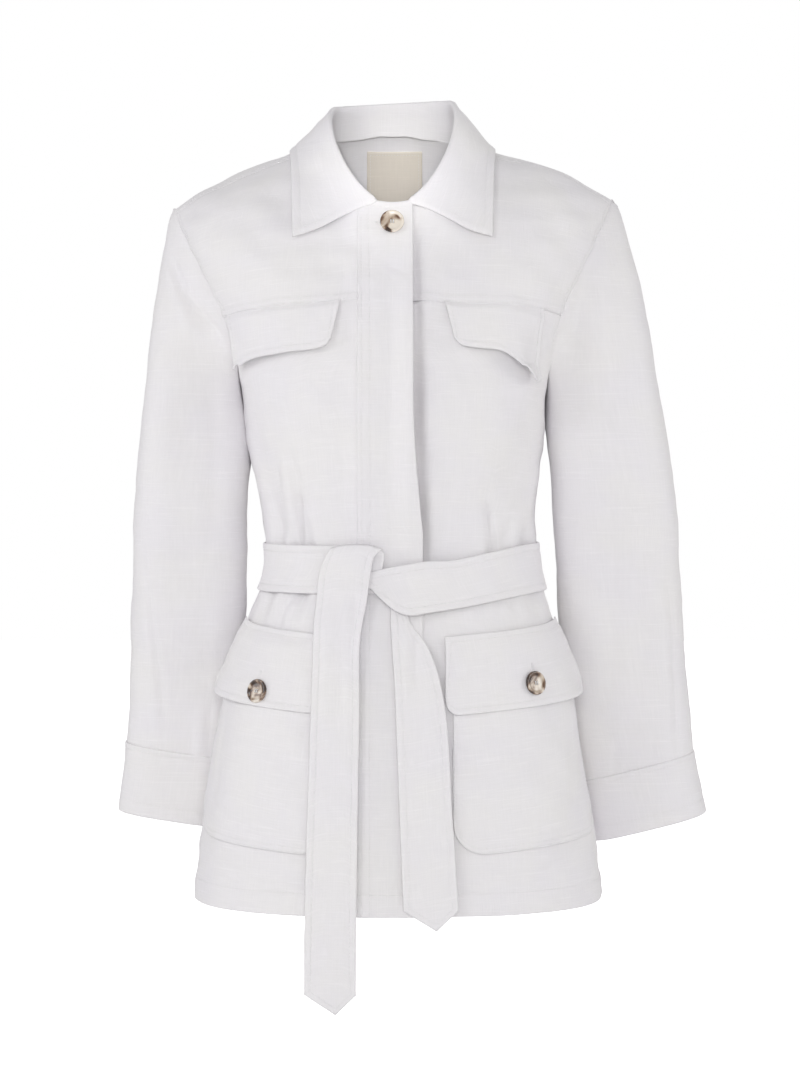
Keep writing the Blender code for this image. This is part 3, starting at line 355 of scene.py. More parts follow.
def shell(grid, normals, thick, tube=False, flat=None):
    rows, columns = grid.shape[:2]
    inner = grid - normals * thick
    ids = np.arange(rows * columns).reshape(rows, columns)
    if tube:
        ids = np.concatenate([ids, ids[:, :1]], axis=1)
    quads = np.stack([ids[:-1, :-1], ids[:-1, 1:], ids[1:, 1:], ids[1:, :-1]], axis=-1).reshape(-1, 4)
    far = rows * columns
    loops = [ids[0, :-1], ids[-1, :-1][::-1]] if tube else [
        np.concatenate([ids[0, :-1], ids[:-1, -1], ids[-1, :0:-1], ids[:0:-1, 0]])]
    points = [grid.reshape(-1, 3), inner.reshape(-1, 3)]
    faces = [quads, quads[:, ::-1] + far]
    distance = edgeDistances(grid)
    if flat is None:
        half = columns // 2
        flat = np.stack([distance["left"] - distance["left"][:, half:half + 1], distance["low"]], axis=-1)
    places = [flat.reshape(-1, 2), flat.reshape(-1, 2)]
    outwardRows, outwardColumns = np.zeros_like(grid), np.zeros_like(grid)
    outwardRows[0], outwardRows[-1] = unit(grid[0] - grid[1]), unit(grid[-1] - grid[-2])
    if not tube:
        outwardColumns[:, 0] = unit(grid[:, 0] - grid[:, 1])
        outwardColumns[:, -1] = unit(grid[:, -1] - grid[:, -2])
    outward = unit(outwardRows + outwardColumns).reshape(-1, 3)
    count = 2 * far
    for loop in loops:  # a rounded rim
        middle = (points[0][loop] + points[1][loop]) / 2 + outward[loop] * thick * rimFullness
        rim = count + np.arange(len(loop))
        after, rimAfter = np.roll(loop, -1), np.roll(rim, -1)
        points.append(middle)
        places.append(places[0][loop])
        faces.append(np.stack([after, loop, rim, rimAfter], axis=1))
        faces.append(np.stack([rimAfter, rim, loop + far, after + far], axis=1))
        count += len(loop)
    along = np.roll(grid, -1, 1) - grid if tube else np.gradient(grid, axis=1)
    faces = np.concatenate(faces)
    if np.sum(np.cross(along, np.gradient(grid, axis=0)) * normals) < 0:
        faces = faces[:, ::-1]
    return np.concatenate(points), faces, np.concatenate(places)


def onRoot(name, mesh, node=None):
    piece = show(name, mesh)
    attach(piece, "root")
    if node:
        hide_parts(node)


def addPiece(name, shape, material):
    points, faces, places = shape
    mesh = bpy.data.meshes.new(name)
    mesh.from_pydata(points.tolist(), [], faces.tolist())
    layer = mesh.uv_layers.new(name="flat")
    corner = np.empty(len(mesh.loops), dtype=np.int32)
    mesh.loops.foreach_get("vertex_index", corner)
    layer.data.foreach_set("uv", places[corner].astype(np.float32).ravel())
    mesh.shade_smooth()
    mesh.materials.append(material)
    onRoot(name, mesh, name)


print("materials")


def fill(tree, node, inputs):  # each input gets a value or another node's socket
    for key, value in inputs.items():
        if hasattr(value, "links"):
            tree.links.new(value, node.inputs[key])
        else:
            node.inputs[key].default_value = value


def addNode(tree, kind, inputs, **settings):
    node = tree.nodes.new(kind)
    for name, value in settings.items():
        setattr(node, name, value)
    fill(tree, node, inputs)
    return node


def mathNode(tree, operation, a, b):
    return addNode(tree, "ShaderNodeMath", {0: a, 1: b}, operation=operation).outputs[0]


def rangeNode(tree, value, fromMin, fromMax, toMin, toMax):
    limits = {"Value": value, "From Min": fromMin, "From Max": fromMax, "To Min": toMin, "To Max": toMax}
    return addNode(tree, "ShaderNodeMapRange", limits).outputs["Result"]


def noiseNode(tree, spot, scale, detail, distortion=0.0):
    inputs = {"Vector": spot, "Scale": scale, "Detail": detail, "Distortion": distortion}
    return addNode(tree, "ShaderNodeTexNoise", inputs).outputs["Fac"]


weave = dict(threads=(45, 1150), weftSlubs=(30, 620), warpSlubs=(620, 26), seeds=(3.1, 7.7, 12.4, 21.9),
             weftThick=(0.58, 0.85), warpThick=(0.60, 0.88), slub=0.8, warpShare=0.7,
             heights=(0.6, 2.0), tints=(0.955, 1.035))


def stretchedNoise(tree, flat, perMetre, seed, detail=2.0):
    u, v = (mathNode(tree, "MULTIPLY", flat[axis], count) for axis, count in zip("XY", perMetre))
    spot = addNode(tree, "ShaderNodeCombineXYZ", {"X": u, "Y": v, "Z": seed})
    return noiseNode(tree, spot.outputs["Vector"], 1.0, detail)


def makeLinenGroup():  # threads both ways, with thick slubs here and there, on a flat place in metres
    group = bpy.data.node_groups.new("linenThreads", "ShaderNodeTree")
    group.interface.new_socket("Place", in_out="INPUT", socket_type="NodeSocketVector")
    for name in ("Tint", "Height"):
        group.interface.new_socket(name, in_out="OUTPUT", socket_type="NodeSocketFloat")
    source = group.nodes.new("NodeGroupInput")
    flat = addNode(group, "ShaderNodeSeparateXYZ", {"Vector": source.outputs["Place"]}).outputs
    seeds = weave["seeds"]
    weft = stretchedNoise(group, flat, weave["threads"], seeds[0])
    warp = stretchedNoise(group, flat, weave["threads"][::-1], seeds[1])
    weftSlub = stretchedNoise(group, flat, weave["weftSlubs"], seeds[2], 1.0)
    warpSlub = stretchedNoise(group, flat, weave["warpSlubs"], seeds[3], 1.0)
    weftSlub = rangeNode(group, weftSlub, *weave["weftThick"], 0, weave["slub"])
    warpSlub = rangeNode(group, warpSlub, *weave["warpThick"], 0, weave["slub"])
    slubs = mathNode(group, "ADD", weftSlub, mathNode(group, "MULTIPLY", warpSlub, weave["warpShare"]))
    height = mathNode(group, "ADD", mathNode(group, "ADD", weft, warp), slubs)
    tint = rangeNode(group, height, *weave["heights"], *weave["tints"])
    addNode(group, "NodeGroupOutput", {"Tint": tint, "Height": height})
    return group


linenThreads = makeLinenGroup()
# cooler and warmer patches, and slight unpressed unevenness
clothLooks = dict(cooler=(0.990, 0.987, 1.003), warmer=(1.004, 1.004, 0.993), patches=(0.35, 0.65),
                  patchNoise=(16, 4), rumpleNoise=(38, 3, 0.6))


def newMaterial(name, looks):
    material = bpy.data.materials.new(name)
    material.use_nodes = True
    tree = material.node_tree
    fill(tree, tree.nodes["Principled BSDF"], looks)
    return material, tree, tree.nodes["Principled BSDF"]


def clothMaterial(name, colour, threadDepth, crumple, sheen):
    looks = {"Roughness": 0.9, "Specular IOR Level": 0.2, "Sheen Weight": sheen, "Sheen Roughness": 0.5}
    material, tree, shader = newMaterial(name, looks)
    place = addNode(tree, "ShaderNodeUVMap", {}, uv_map="flat").outputs["UV"]
    threads = addNode(tree, "ShaderNodeGroup", {}, node_tree=linenThreads)
    fill(tree, threads, {"Place": place})
    where = tree.nodes.new("ShaderNodeTexCoord").outputs["Object"]
    mottle = rangeNode(tree, noiseNode(tree, where, *clothLooks["patchNoise"]), *clothLooks["patches"], 0, 1)
    tones = (clothLooks["cooler"], clothLooks["warmer"])
    cool, warm = ((*(part * share for part, share in zip(colour, tone)), 1) for tone in tones)
    patches = addNode(tree, "ShaderNodeMix", {"Factor": mottle, "A": cool, "B": warm}, data_type="RGBA")
    tinted = {"Factor": 1.0, "A": patches.outputs["Result"], "B": threads.outputs["Tint"]}
    tint = addNode(tree, "ShaderNodeMix", tinted, data_type="RGBA", blend_type="MULTIPLY")
    rumple = mathNode(tree, "MULTIPLY", noiseNode(tree, where, *clothLooks["rumpleNoise"]), crumple)
    height = mathNode(tree, "ADD", mathNode(tree, "MULTIPLY", threads.outputs["Height"], threadDepth), rumple)
    bump = addNode(tree, "ShaderNodeBump", {"Strength": 1.0, "Distance": 1.0, "Height": height})
    fill(tree, shader, {"Base Color": tint.outputs["Result"], "Normal": bump.outputs["Normal"]})
    return material


linen = clothMaterial("linen", (0.852, 0.836, 0.845), 0.00009, 0.0009, 0.05)
threadLinen = clothMaterial("sewingThread", (0.86, 0.855, 0.855), 0.00002, 0.0, 0.0)
labelCloth = clothMaterial("labelCloth", (0.80, 0.74, 0.645), 0.00005, 0.0004, 0.0)


hornLooks = dict(
    noise=(46, 2.5, 0.9),
    stops=((0.44, (0.040, 0.020, 0.012)), (0.49, (0.16, 0.090, 0.055)), (0.53, (0.48, 0.38, 0.29)),
           (0.60, (0.76, 0.69, 0.60))),
)


def makeHorn():
    looks = {"Roughness": 0.22, "Coat Weight": 0.4, "Coat Roughness": 0.08}
    material, tree, shader = newMaterial("horn", looks)
    where = tree.nodes.new("ShaderNodeTexCoord").outputs["Object"]
    shades = addNode(tree, "ShaderNodeValToRGB", {"Fac": noiseNode(tree, where, *hornLooks["noise"])})
    while len(shades.color_ramp.elements) < len(hornLooks["stops"]):
        shades.color_ramp.elements.new(0.5)
    for element, (spot, colour) in zip(shades.color_ramp.elements, hornLooks["stops"]):
        element.position = spot
        element.color = (*colour, 1)
    fill(tree, shader, {"Base Color": shades.outputs["Color"]})
    return material


horn = makeHorn()

print("fronts and yokes")
inside = np.array((0.0, 0.02, 0.0))


def insideOf(grid):
    core = np.broadcast_to(inside, grid.shape).copy()
    core[..., 2] = np.minimum(grid[..., 2], -0.12)
    return core


def laidOn(turn, rise, out=0.0, folded=True):
    grid = onBody(turn, rise, out, folded)
    return grid, gridNormals(grid, insideOf(grid)), edgeDistances(grid)


def layCloth(name, grid, normals, relief, thick, core=None, flat=None):  # round an arm if it has a core
    grid, tube = grid + normals * relief[..., None], core is not None
    normals = gridNormals(grid, core if tube else insideOf(grid), tube)
    shape = shell(grid, normals, cloth[thick], tube, flat(grid) if flat else None)
    addPiece(name, shape, linen)
    return grid, normals


placket = dict(leftX=-0.0333, rightX=0.0186, underlapX=-0.0290, lapRaise=0.0022, lapRamp=0.016, out=0.0024,
               lift=0.0090, liftFrom=-0.43, liftTo=-0.085, liftX=-0.004, lean=0.0096, leanBend=1.5,
               leanFrom=-0.255, leanRun=0.125, stitchIn=0.0035, secondRow=0.0115, welt=0.0003, endWelt=0.0005,
               dent=0.0005, dentRun=0.0014, topIn=0.006, topTrim=(0.012, 0.002), wave=0.0006, deepest=-0.0008,
               columns=28, upperRows=56, flat=(0.061, 0.69))
hem = dict(stitchUp=0.021, welt=0.0012)
unevenness = dict(wave=0.0010, beltPress=0.026)
frontCreases = (  # x and z
    (-0.118, -0.3, -0.108, -0.394, 0.002, 0.006, -0.0022),
    (-0.103, -0.296, -0.0895, -0.372, 0.002, 0.0055, -0.003),
    (-0.0925, -0.338, -0.0865, -0.396, 0.001, 0.0022, -0.004),
    (-0.109, -0.31, -0.096, -0.394, 0.002, 0.0052, 0.003),
    (-0.124, -0.222, -0.11, -0.32, 0.002, 0.007, -0.0014),
    (-0.113, -0.225, -0.104, -0.29, 0.002, 0.005, -0.001),
    (-0.0865, -0.436, -0.11, -0.476, -0.008, 0.0042, -0.0038),
    (-0.098, -0.437, -0.122, -0.47, -0.004, 0.005, 0.002),
    (0.0935, -0.352, 0.0955, -0.4, 0.001, 0.0026, -0.004),
    (0.085, -0.3, 0.0935, -0.38, 0.002, 0.008, -0.0012),
    (0.135, -0.35, 0.108, -0.396, 0.003, 0.0055, 0.002),
    (0.123, -0.345, 0.102, -0.396, 0.003, 0.005, -0.0018),
    (0.0205, -0.07, 0.0205, -0.3, 0, 0.007, -0.0075),
    (0.0205, -0.22, 0.029, -0.412, -0.002, 0.0075, -0.01),
    (0.06, -0.33, 0.045, -0.396, 0.002, 0.009, 0.0016),
    (0.11, -0.437, 0.125, -0.458, -0.003, 0.004, -0.0018),
    (0.13, -0.435, 0.142, -0.462, -0.003, 0.005, -0.0016),
    (0.076, -0.436, 0.086, -0.47, 0.002, 0.008, -0.0012),
    (0.15, -0.22, 0.12, -0.33, -0.006, 0.012, -0.0016),
    (0.06, -0.714, 0.15, -0.706, 0.002, 0.0055, -0.0012),
    (0.14, -0.706, 0.19, -0.69, 0.003, 0.006, -0.0016),
    (-0.18, -0.694, -0.12, -0.716, -0.002, 0.006, -0.0014),
    (-0.13, -0.716, -0.06, -0.722, 0.002, 0.005, -0.001),
    (-0.17, -0.07, -0.12, -0.13, 0.01, 0.014, -0.001),
    (0.165, -0.06, 0.12, -0.13, -0.008, 0.014, -0.001),
    (-0.06, -0.11, -0.075, -0.16, 0.002, 0.015, -0.0008),
    (0.095, -0.09, 0.08, -0.16, 0.002, 0.015, -0.0008),
)


def clothRelief(points, creased):  # uneven and creased, and pressed flat under the belt
    relief = softWaves(points, unevenness["wave"]) + creased
    nearBelt = np.exp(-((points[..., 2] - waistZ) / unevenness["beltPress"]) ** 2)
    return np.where(relief > 0, relief * (1 - nearBelt), relief)


def frontRelief(points):
    return clothRelief(points, creaseHeight(points[..., 0], points[..., 2], frontCreases))


def lapRaise(turn, rise):
    return placket["lapRaise"] * ease((bodyPoint(turn, rise)[..., 0] - placket["leftX"] + placket["lapRamp"])
                                      / placket["lapRamp"])


hemLevels = np.array((0, 0.0012, 0.003, 0.006, 0.010, 0.014, 0.018, 0.0195, 0.021, 0.0225, 0.024))
levels = np.concatenate([form["hemZ"] + hemLevels, np.linspace(form["hemZ"] + 0.027, form["underarmZ"], 128)])


def frontPlaces(side, edgeX, columns, upperRows):
    u = np.linspace(0, 1, columns + 1)[None, :]
    rise = riseOfLevel(levels)[:, None]
    turn = mix(turnAtX(edgeX, rise), side * frontOuterTurn(rise), u)
    v = np.linspace(0, 1, upperRows + 1)[1:, None]
    start = np.zeros_like(v)
    for _ in range(12):
        start = turnAtX(edgeX, yokeRise(start) * v)
    upperTurn = mix(start, side * frontOuterTurn(yoke["rise"] * v), u)
    upperRise = (yokeRise(upperTurn) - yoke["seam"]) * v
    tuckTurn, tuckRise = upperTurn[-1:], upperRise[-1:] + np.array((0.004, 0.010))[:, None]
    return (np.concatenate([turn, upperTurn, tuckTurn, tuckTurn]),
            np.concatenate([np.broadcast_to(rise, turn.shape), upperRise, tuckRise]))


def yokePlaces(side, edgeX, half, rows):
    neckStart = 0.0
    for _ in range(20):
        neckStart = turnAtX(edgeX, neckRise(neckStart, neck["frontRise"]))
    u = np.linspace(0, 1, half + 1)
    neckTurn = mix(neckStart * side, neckSeamTurn, 1 - (1 - u) ** 1.6)
    neckHeight = np.minimum(neckRise(neckTurn, neck["frontRise"]), yoke["shoulderSeam"])
    outerTurn = mix(neckSeamTurn, frontOuterTurn(yoke["shoulderSeam"]), u[1:])
    topTurn = np.concatenate([neckTurn, outerTurn])
    topRise = np.concatenate([neckHeight, np.full(half, yoke["shoulderSeam"])])
    topStart = side * turnAtX(edgeX, topRise)
    topShare = (topTurn - topStart) / (frontOuterTurn(topRise) - topStart)
    w, v = np.linspace(0, 1, len(topTurn))[None, :], np.linspace(0, 1, rows + 1)[:, None]
    turn = w * np.ones_like(v)
    for _ in range(10):
        rise = mix(yokeRise(turn) + yoke["seam"], topRise[None, :], v)
        start = side * turnAtX(edgeX, rise)
        turn = mix(start, frontOuterTurn(rise), mix(w, topShare[None, :], v))
    return side * turn, rise


fronts = dict(
    left=dict(side=1, edgeX=placket["underlapX"], columns=76, flat=(0.27, 0.62), area=0.161),
    right=dict(side=-1, edgeX=placket["leftX"], columns=56, flat=(0.20, 0.62), area=0.118),
)
frontCut = dict(upperRows=26, tucks=(-0.0003, -0.0018, -0.0026), softRows=4, softColumns=5, softPasses=12)
yokeCut = dict(half=34, rows=46, raised=0.0002, edgeStitch=0.0018, stitchIn=0.0075, welt=0.0010,
               armholeIn=0.006, armholeWelt=0.0004, armholeTrim=(0.0, 0.002), pressed=0.0008, pressedRun=0.0016)
for name, sizes in fronts.items():
    turn, rise = frontPlaces(sizes["side"], sizes["edgeX"], sizes["columns"], frontCut["upperRows"])
    tuck = np.zeros((len(rise), 1))
    tuck[-3:, 0] = frontCut["tucks"]  # in under the yoke
    grid = onBody(turn, rise, tuck + (lapRaise(turn, rise) if name == "right" else 0.0))
    fromUnderarm, fromEdge = np.arange(len(grid)) - len(levels) + 1, np.arange(sizes["columns"], -1, -1)
    soften = 0.5 * np.exp(-(fromUnderarm / frontCut["softRows"]) ** 2)[1:-1, None, None]
    soften = soften * ease(fromEdge / frontCut["softColumns"])[None, :, None]
    grid = evened(grid, soften, frontCut["softPasses"])  # where the armhole begins
    relief = frontRelief(grid) + welt(edgeDistances(grid)["low"], hem["stitchUp"], hem["welt"])
    grid, normals = layCloth(f"front_{name}", grid, gridNormals(grid, insideOf(grid)), relief, "body")
    sewEdges("hemStitches", grid, normals, hem["stitchUp"], low=whole)
    turn, rise = yokePlaces(sizes["side"], sizes["edgeX"], yokeCut["half"], yokeCut["rows"])
    grid, normals, distance = laidOn(turn, rise, lapRaise(turn, rise) if name == "right" else 0.0)
    seams = yokeCut["raised"] + welt(distance["low"], yokeCut["stitchIn"], yokeCut["welt"])
    seams = seams + welt(distance["right"], yokeCut["armholeIn"], yokeCut["armholeWelt"])
    seams = seams - yokeCut["pressed"] * np.exp(-(distance["low"] / yokeCut["pressedRun"]) ** 2)
    grid, normals = layCloth(f"front_yoke_{name}", grid, normals, frontRelief(grid) + seams, "body")
    for row in ("edgeStitch", "stitchIn"):
        sewEdges("yokeStitches", grid, normals, yokeCut[row], low=whole)
    sewEdges("yokeStitches", grid, normals, yokeCut["armholeIn"], right=yokeCut["armholeTrim"])

print("front placket")
placketCreases = (  # x and z, small puckers where the belt draws the edge
    (-0.022, -0.368, 0.012, -0.384, 0.002, 0.003, -0.0011),
    (-0.02, -0.345, 0.014, -0.352, 0.001, 0.003, -0.0008),
    (-0.01, -0.355, 0.016, -0.372, 0.002, 0.0028, 0.0009),
    (-0.018, -0.248, 0.014, -0.252, 0.001, 0.003, -0.0006),
    (-0.022, -0.256, 0.012, -0.258, 0.001, 0.0026, -0.0005),
    (-0.01, -0.118, 0.018, -0.132, -0.002, 0.0026, -0.0008),
    (-0.006, -0.56, 0.01, -0.566, 0.001, 0.004, -0.0008),
)


def placketPlaces(columns, upperRows):
    share, first = np.linspace(0, 1, columns + 1)[None, :], placket["leftX"] + cloth["seamGap"]
    lean = np.clip((placket["leanFrom"] - levels) / placket["leanRun"], 0, 1)[:, None]
    lean = placket["lean"] * lean ** placket["leanBend"]
    x = mix(first, placket["rightX"], share)
    low = riseOfLevel(levels)[:, None] * np.ones_like(x)
    top = neckRise(turnAtX(x, neck["frontRise"]), neck["frontRise"])
    high = np.linspace(0, 1, upperRows + 1)[1:, None] * top
    rise = np.concatenate([low, high])
    x = np.concatenate([mix(first, placket["rightX"] + lean, share), np.broadcast_to(x, high.shape)])
    return turnAtX(x, rise), rise


turn, rise = placketPlaces(placket["columns"], placket["upperRows"])
flatPoints = bodyPoint(turn, rise)
along = (flatPoints[..., 2] - placket["liftFrom"]) / (placket["liftTo"] - placket["liftFrom"])
lift = np.where((along > 0) & (along < 1), np.sin(math.pi * np.clip(along, 0, 1)), 0)
lift = lift * ease((flatPoints[..., 0] - placket["liftX"]) / (placket["rightX"] - placket["liftX"]))
grid, normals, distance = laidOn(turn, rise, placket["out"] + placket["lift"] * lift, folded=False)
rows = welt(distance["left"], placket["secondRow"], placket["welt"])
rows = rows - placket["dent"] * np.exp(-((distance["left"] - placket["stitchIn"]) / placket["dentRun"]) ** 2)
rows = rows + welt(distance["low"], hem["stitchUp"], placket["endWelt"])
rows = rows + welt(distance["high"], placket["topIn"], placket["endWelt"])
relief = np.maximum(softWaves(grid, placket["wave"]), placket["deepest"])
relief = relief + creaseHeight(grid[..., 0], grid[..., 2], placketCreases)
grid, normals = layCloth("front_placket", grid, normals, relief + rows, "placket")
for row in ("stitchIn", "secondRow"):
    sewEdges("placketStitches", grid, normals, placket[row], left=whole)
sewEdges("placketStitches", grid, normals, placket["topIn"], high=placket["topTrim"])
sewEdges("hemStitches", grid, normals, hem["stitchUp"], low=whole)

print("back")
backCreases = (  # x and z
    (-0.06, -0.3, -0.05, -0.395, 0.004, 0.006, -0.0024),
    (0.055, -0.29, 0.047, -0.395, -0.004, 0.0055, -0.0022),
    (-0.015, -0.34, -0.01, -0.398, 0.002, 0.0045, -0.0018),
    (0.1, -0.32, 0.085, -0.395, 0.003, 0.006, -0.002),
    (-0.105, -0.31, -0.09, -0.396, -0.003, 0.006, -0.0022),
    (-0.05, -0.436, -0.065, -0.5, 0.004, 0.006, -0.0028),
    (0.045, -0.436, 0.06, -0.52, -0.004, 0.0065, -0.0028),
    (0, -0.436, 0.004, -0.48, 0.002, 0.005, -0.0018),
    (0.095, -0.437, 0.115, -0.5, -0.004, 0.006, -0.0024),
    (-0.095, -0.437, -0.118, -0.495, 0.004, 0.006, -0.0022),
    (-0.14, -0.18, -0.09, -0.24, 0.006, 0.01, -0.002),
    (0.14, -0.175, 0.095, -0.235, -0.006, 0.01, -0.002),
    (-0.12, -0.7, -0.03, -0.712, 0.003, 0.008, -0.0014),
    (0.04, -0.712, 0.14, -0.698, 0.003, 0.008, -0.0014),
)
back = dict(neckColumns=30, shoulderColumns=35, upperRows=64, flat=(0.56, 0.80), area=0.352,
            seamRows=60, seamIn=0.005,
            smooth=0.9, smoothZ=-0.075, smoothRun=0.03, smoothHalf=0.09)  # smooth where the label lies


def backPlaces(neckColumns, shoulderColumns, upperRows):
    topTurn, topRise = neckPlace(np.linspace(0, neckSeamWay, neckColumns + 1))
    seamRise = 2 - yoke["shoulderSeam"] - yoke["shoulderGap"]
    topRise[-1] = seamRise
    outer = mix(topTurn[-1], backOuterTurn(seamRise), np.linspace(0, 1, shoulderColumns + 1)[1:])
    topTurn = np.concatenate([topTurn, outer])
    topRise = np.concatenate([topRise, np.full(shoulderColumns, seamRise)])
    w = np.linspace(0, 1, len(topTurn))[None, :]
    low = riseOfLevel(levels[:-1])[:, None]
    v = np.linspace(0, 1, upperRows + 1)[:, None]
    high = topRise[None, :] * v
    share = mix(w, (topTurn / backOuterTurn(topRise))[None, :], v)
    turn = np.concatenate([w * backOuterTurn(low), share * backOuterTurn(high)])
    rise = np.concatenate([low * np.ones_like(w), high])
    return (np.concatenate([math.pi - turn[:, ::-1], math.pi + turn[:, 1:]], axis=1),
            np.concatenate([rise[:, ::-1], rise[:, 1:]], axis=1))


turn, rise = backPlaces(back["neckColumns"], back["shoulderColumns"], back["upperRows"])
grid, normals, distance = laidOn(turn, rise)
creased = np.where(grid[..., 1] > 0, creaseHeight(grid[..., 0], grid[..., 2], backCreases), 0)
smooth = ease((grid[..., 2] - back["smoothZ"]) / back["smoothRun"])
smooth = smooth * ease(1 - np.abs(grid[..., 0]) / back["smoothHalf"])
relief = clothRelief(grid, creased) * (1 - back["smooth"] * smooth)
relief = relief + welt(distance["low"], hem["stitchUp"], hem["welt"])
grid, normals = layCloth("back", grid, normals, relief, "body")
sewEdges("hemStitches", grid, normals, hem["stitchUp"], low=whole)
corner, upper = back["shoulderColumns"], slice(back["seamRows"], None)
for part in (slice(0, corner + 1), slice(-corner - 1, None)):
    sewEdges("yokeStitches", grid[upper, part], normals[upper, part], back["seamIn"], high=whole)

print("sleeves and cuffs")
sleeves = dict(
    right=dict(
        side=-1, tilt=0.018, bulge=0.005, behindZ=-0.262, behindRun=0.050, behindX=0.013, behindY=0.040,
        flat=(0.38, 0.58), area=0.179, cuffFlat=(0.35, 0.074),
        z=(-0.245, -0.295, -0.350, -0.450, -0.550, -0.608, -0.679),
        outer=(0.248, 0.2535, 0.259, 0.265, 0.270, 0.274, 0.285),
        inner=(0.1550, 0.1460, 0.1445, 0.146, 0.153, 0.160, 0.169),
        middleY=(0.008, 0.014, 0.022, 0.047, 0.073, 0.082, 0.096),
        halfDepth=(0.062, 0.061, 0.060, 0.058, 0.051, 0.047, 0.047),
        frontCreases=(  # x and z
            (-0.2195, -0.108, -0.169, -0.186, -0.008, 0.0042, -0.0042),
            (-0.226, -0.112, -0.18, -0.196, -0.009, 0.0065, 0.0022),
            (-0.25, -0.4, -0.232, -0.59, 0.002, 0.0026, -0.0014),
            (-0.256, -0.43, -0.24, -0.59, 0.002, 0.0045, 0.0008),
            (-0.178, -0.205, -0.18, -0.4, 0.002, 0.01, -0.002),
            (-0.205, -0.26, -0.212, -0.43, 0.002, 0.014, -0.001),
            (-0.19, -0.44, -0.194, -0.58, 0.002, 0.008, -0.0012),
            (-0.185, -0.545, -0.19, -0.618, 0.001, 0.0034, -0.0018),
            (-0.196, -0.56, -0.1985, -0.618, 0.001, 0.0036, 0.0014),
            (-0.208, -0.555, -0.209, -0.618, 0.001, 0.0036, -0.0014),
            (-0.176, -0.565, -0.178, -0.618, 0.001, 0.0034, 0.0012),
            (-0.223, -0.57, -0.224, -0.618, 0.001, 0.004, -0.001),
        ),
        backCreases=(
            (-0.21, -0.19, -0.18, -0.3, 0.006, 0.01, -0.003),
            (-0.24, -0.33, -0.2, -0.4, 0.006, 0.01, -0.0034),
            (-0.2, -0.37, -0.245, -0.44, 0.005, 0.011, -0.0026),
            (-0.21, -0.5, -0.206, -0.618, 0.002, 0.006, -0.0018),
            (-0.235, -0.54, -0.234, -0.618, 0.001, 0.005, -0.0014),
        ),
    ),
    left=dict(
        side=1, tilt=0.030, bulge=0.009, behindZ=-0.235, behindRun=0.040, behindX=0.016, behindY=0.040,
        flat=(0.40, 0.58), area=0.198, cuffFlat=(0.385, 0.065),
        z=(-0.245, -0.295, -0.350, -0.450, -0.550, -0.623, -0.685),
        outer=(0.266, 0.2745, 0.283, 0.292, 0.301, 0.309, 0.322),
        inner=(0.1570, 0.1540, 0.1570, 0.164, 0.176, 0.190, 0.202),
        middleY=(0.008, 0.014, 0.022, 0.045, 0.068, 0.080, 0.086),
        halfDepth=(0.062, 0.061, 0.060, 0.058, 0.055, 0.053, 0.055),
        frontCreases=(
            (0.206, -0.075, 0.188, -0.205, -0.013, 0.007, -0.0018),
            (0.196, -0.08, 0.176, -0.195, -0.01, 0.0085, 0.001),
            (0.23, -0.095, 0.224, -0.22, -0.008, 0.009, -0.0013),
            (0.17, -0.178, 0.206, -0.232, 0.003, 0.011, -0.0046),
            (0.216, -0.13, 0.206, -0.26, -0.006, 0.01, 0.001),
            (0.178, -0.225, 0.176, -0.4, 0.002, 0.01, -0.0026),
            (0.242, -0.23, 0.252, -0.4, 0.003, 0.013, -0.0012),
            (0.275, -0.43, 0.289, -0.615, 0.002, 0.003, -0.002),
            (0.266, -0.43, 0.279, -0.61, 0.002, 0.006, 0.0012),
            (0.248, -0.38, 0.243, -0.61, 0.002, 0.008, -0.0012),
            (0.22, -0.43, 0.218, -0.56, 0.003, 0.011, -0.0014),
            (0.24, -0.585, 0.239, -0.632, 0.001, 0.0034, -0.0014),
            (0.26, -0.59, 0.2605, -0.632, 0.001, 0.0036, -0.001),
            (0.225, -0.59, 0.2245, -0.632, 0.001, 0.0036, -0.0012),
        ),
        backCreases=(
            (0.215, -0.19, 0.185, -0.3, -0.006, 0.01, -0.003),
            (0.26, -0.33, 0.215, -0.4, -0.006, 0.01, -0.0034),
            (0.215, -0.38, 0.265, -0.45, -0.005, 0.011, -0.0026),
            (0.235, -0.51, 0.233, -0.63, 0.002, 0.006, -0.0018),
            (0.27, -0.54, 0.272, -0.63, 0.001, 0.005, -0.0014),
        ),
    ),
)
cuff = dict(wave=0.0005, welt=0.0005, rows=(("low", 0.005), ("high", 0.014)))
cuffDepths = np.concatenate([[0, 0.02, 0.05, 0.075, 0.1], np.linspace(0.14, 0.86, 18),
                             [0.9, 0.925, 0.95, 0.98, 1]])
sleeveColumns, capRows, sleeveRows, sleeveSquare = 128, 30, 120, 0.64
sleeveClear, sleeveTouch, clearRun = -0.0005, 0.002, 0.02
sleeveCut = dict(taper=0.014, taperFrom=0.6, taperRun=1.2, seamUnder=0.0009, bulgeSkew=0.6, intoCuff=0.004,
                 easeFrom=2, easeRows=23, easePasses=60, wave=0.0004, plainSeam=0.012,
                 plainCuff=0.003, plainRun=0.004, head=0.0010, headRise=0.008, headRun=0.03, round=0.058)


def armholePoint(side, angle):
    rise = np.clip((1 + np.cos(angle)) / 2, 0.001, 0.999)
    turn = np.where(angle % (2 * math.pi) <= math.pi, armholeTurn(rise, armhole["frontScoop"]),
                    math.pi - armholeTurn(rise, armhole["backScoop"]))
    return bodyPoint(side * turn, rise), bodyNormal(side * turn, rise)


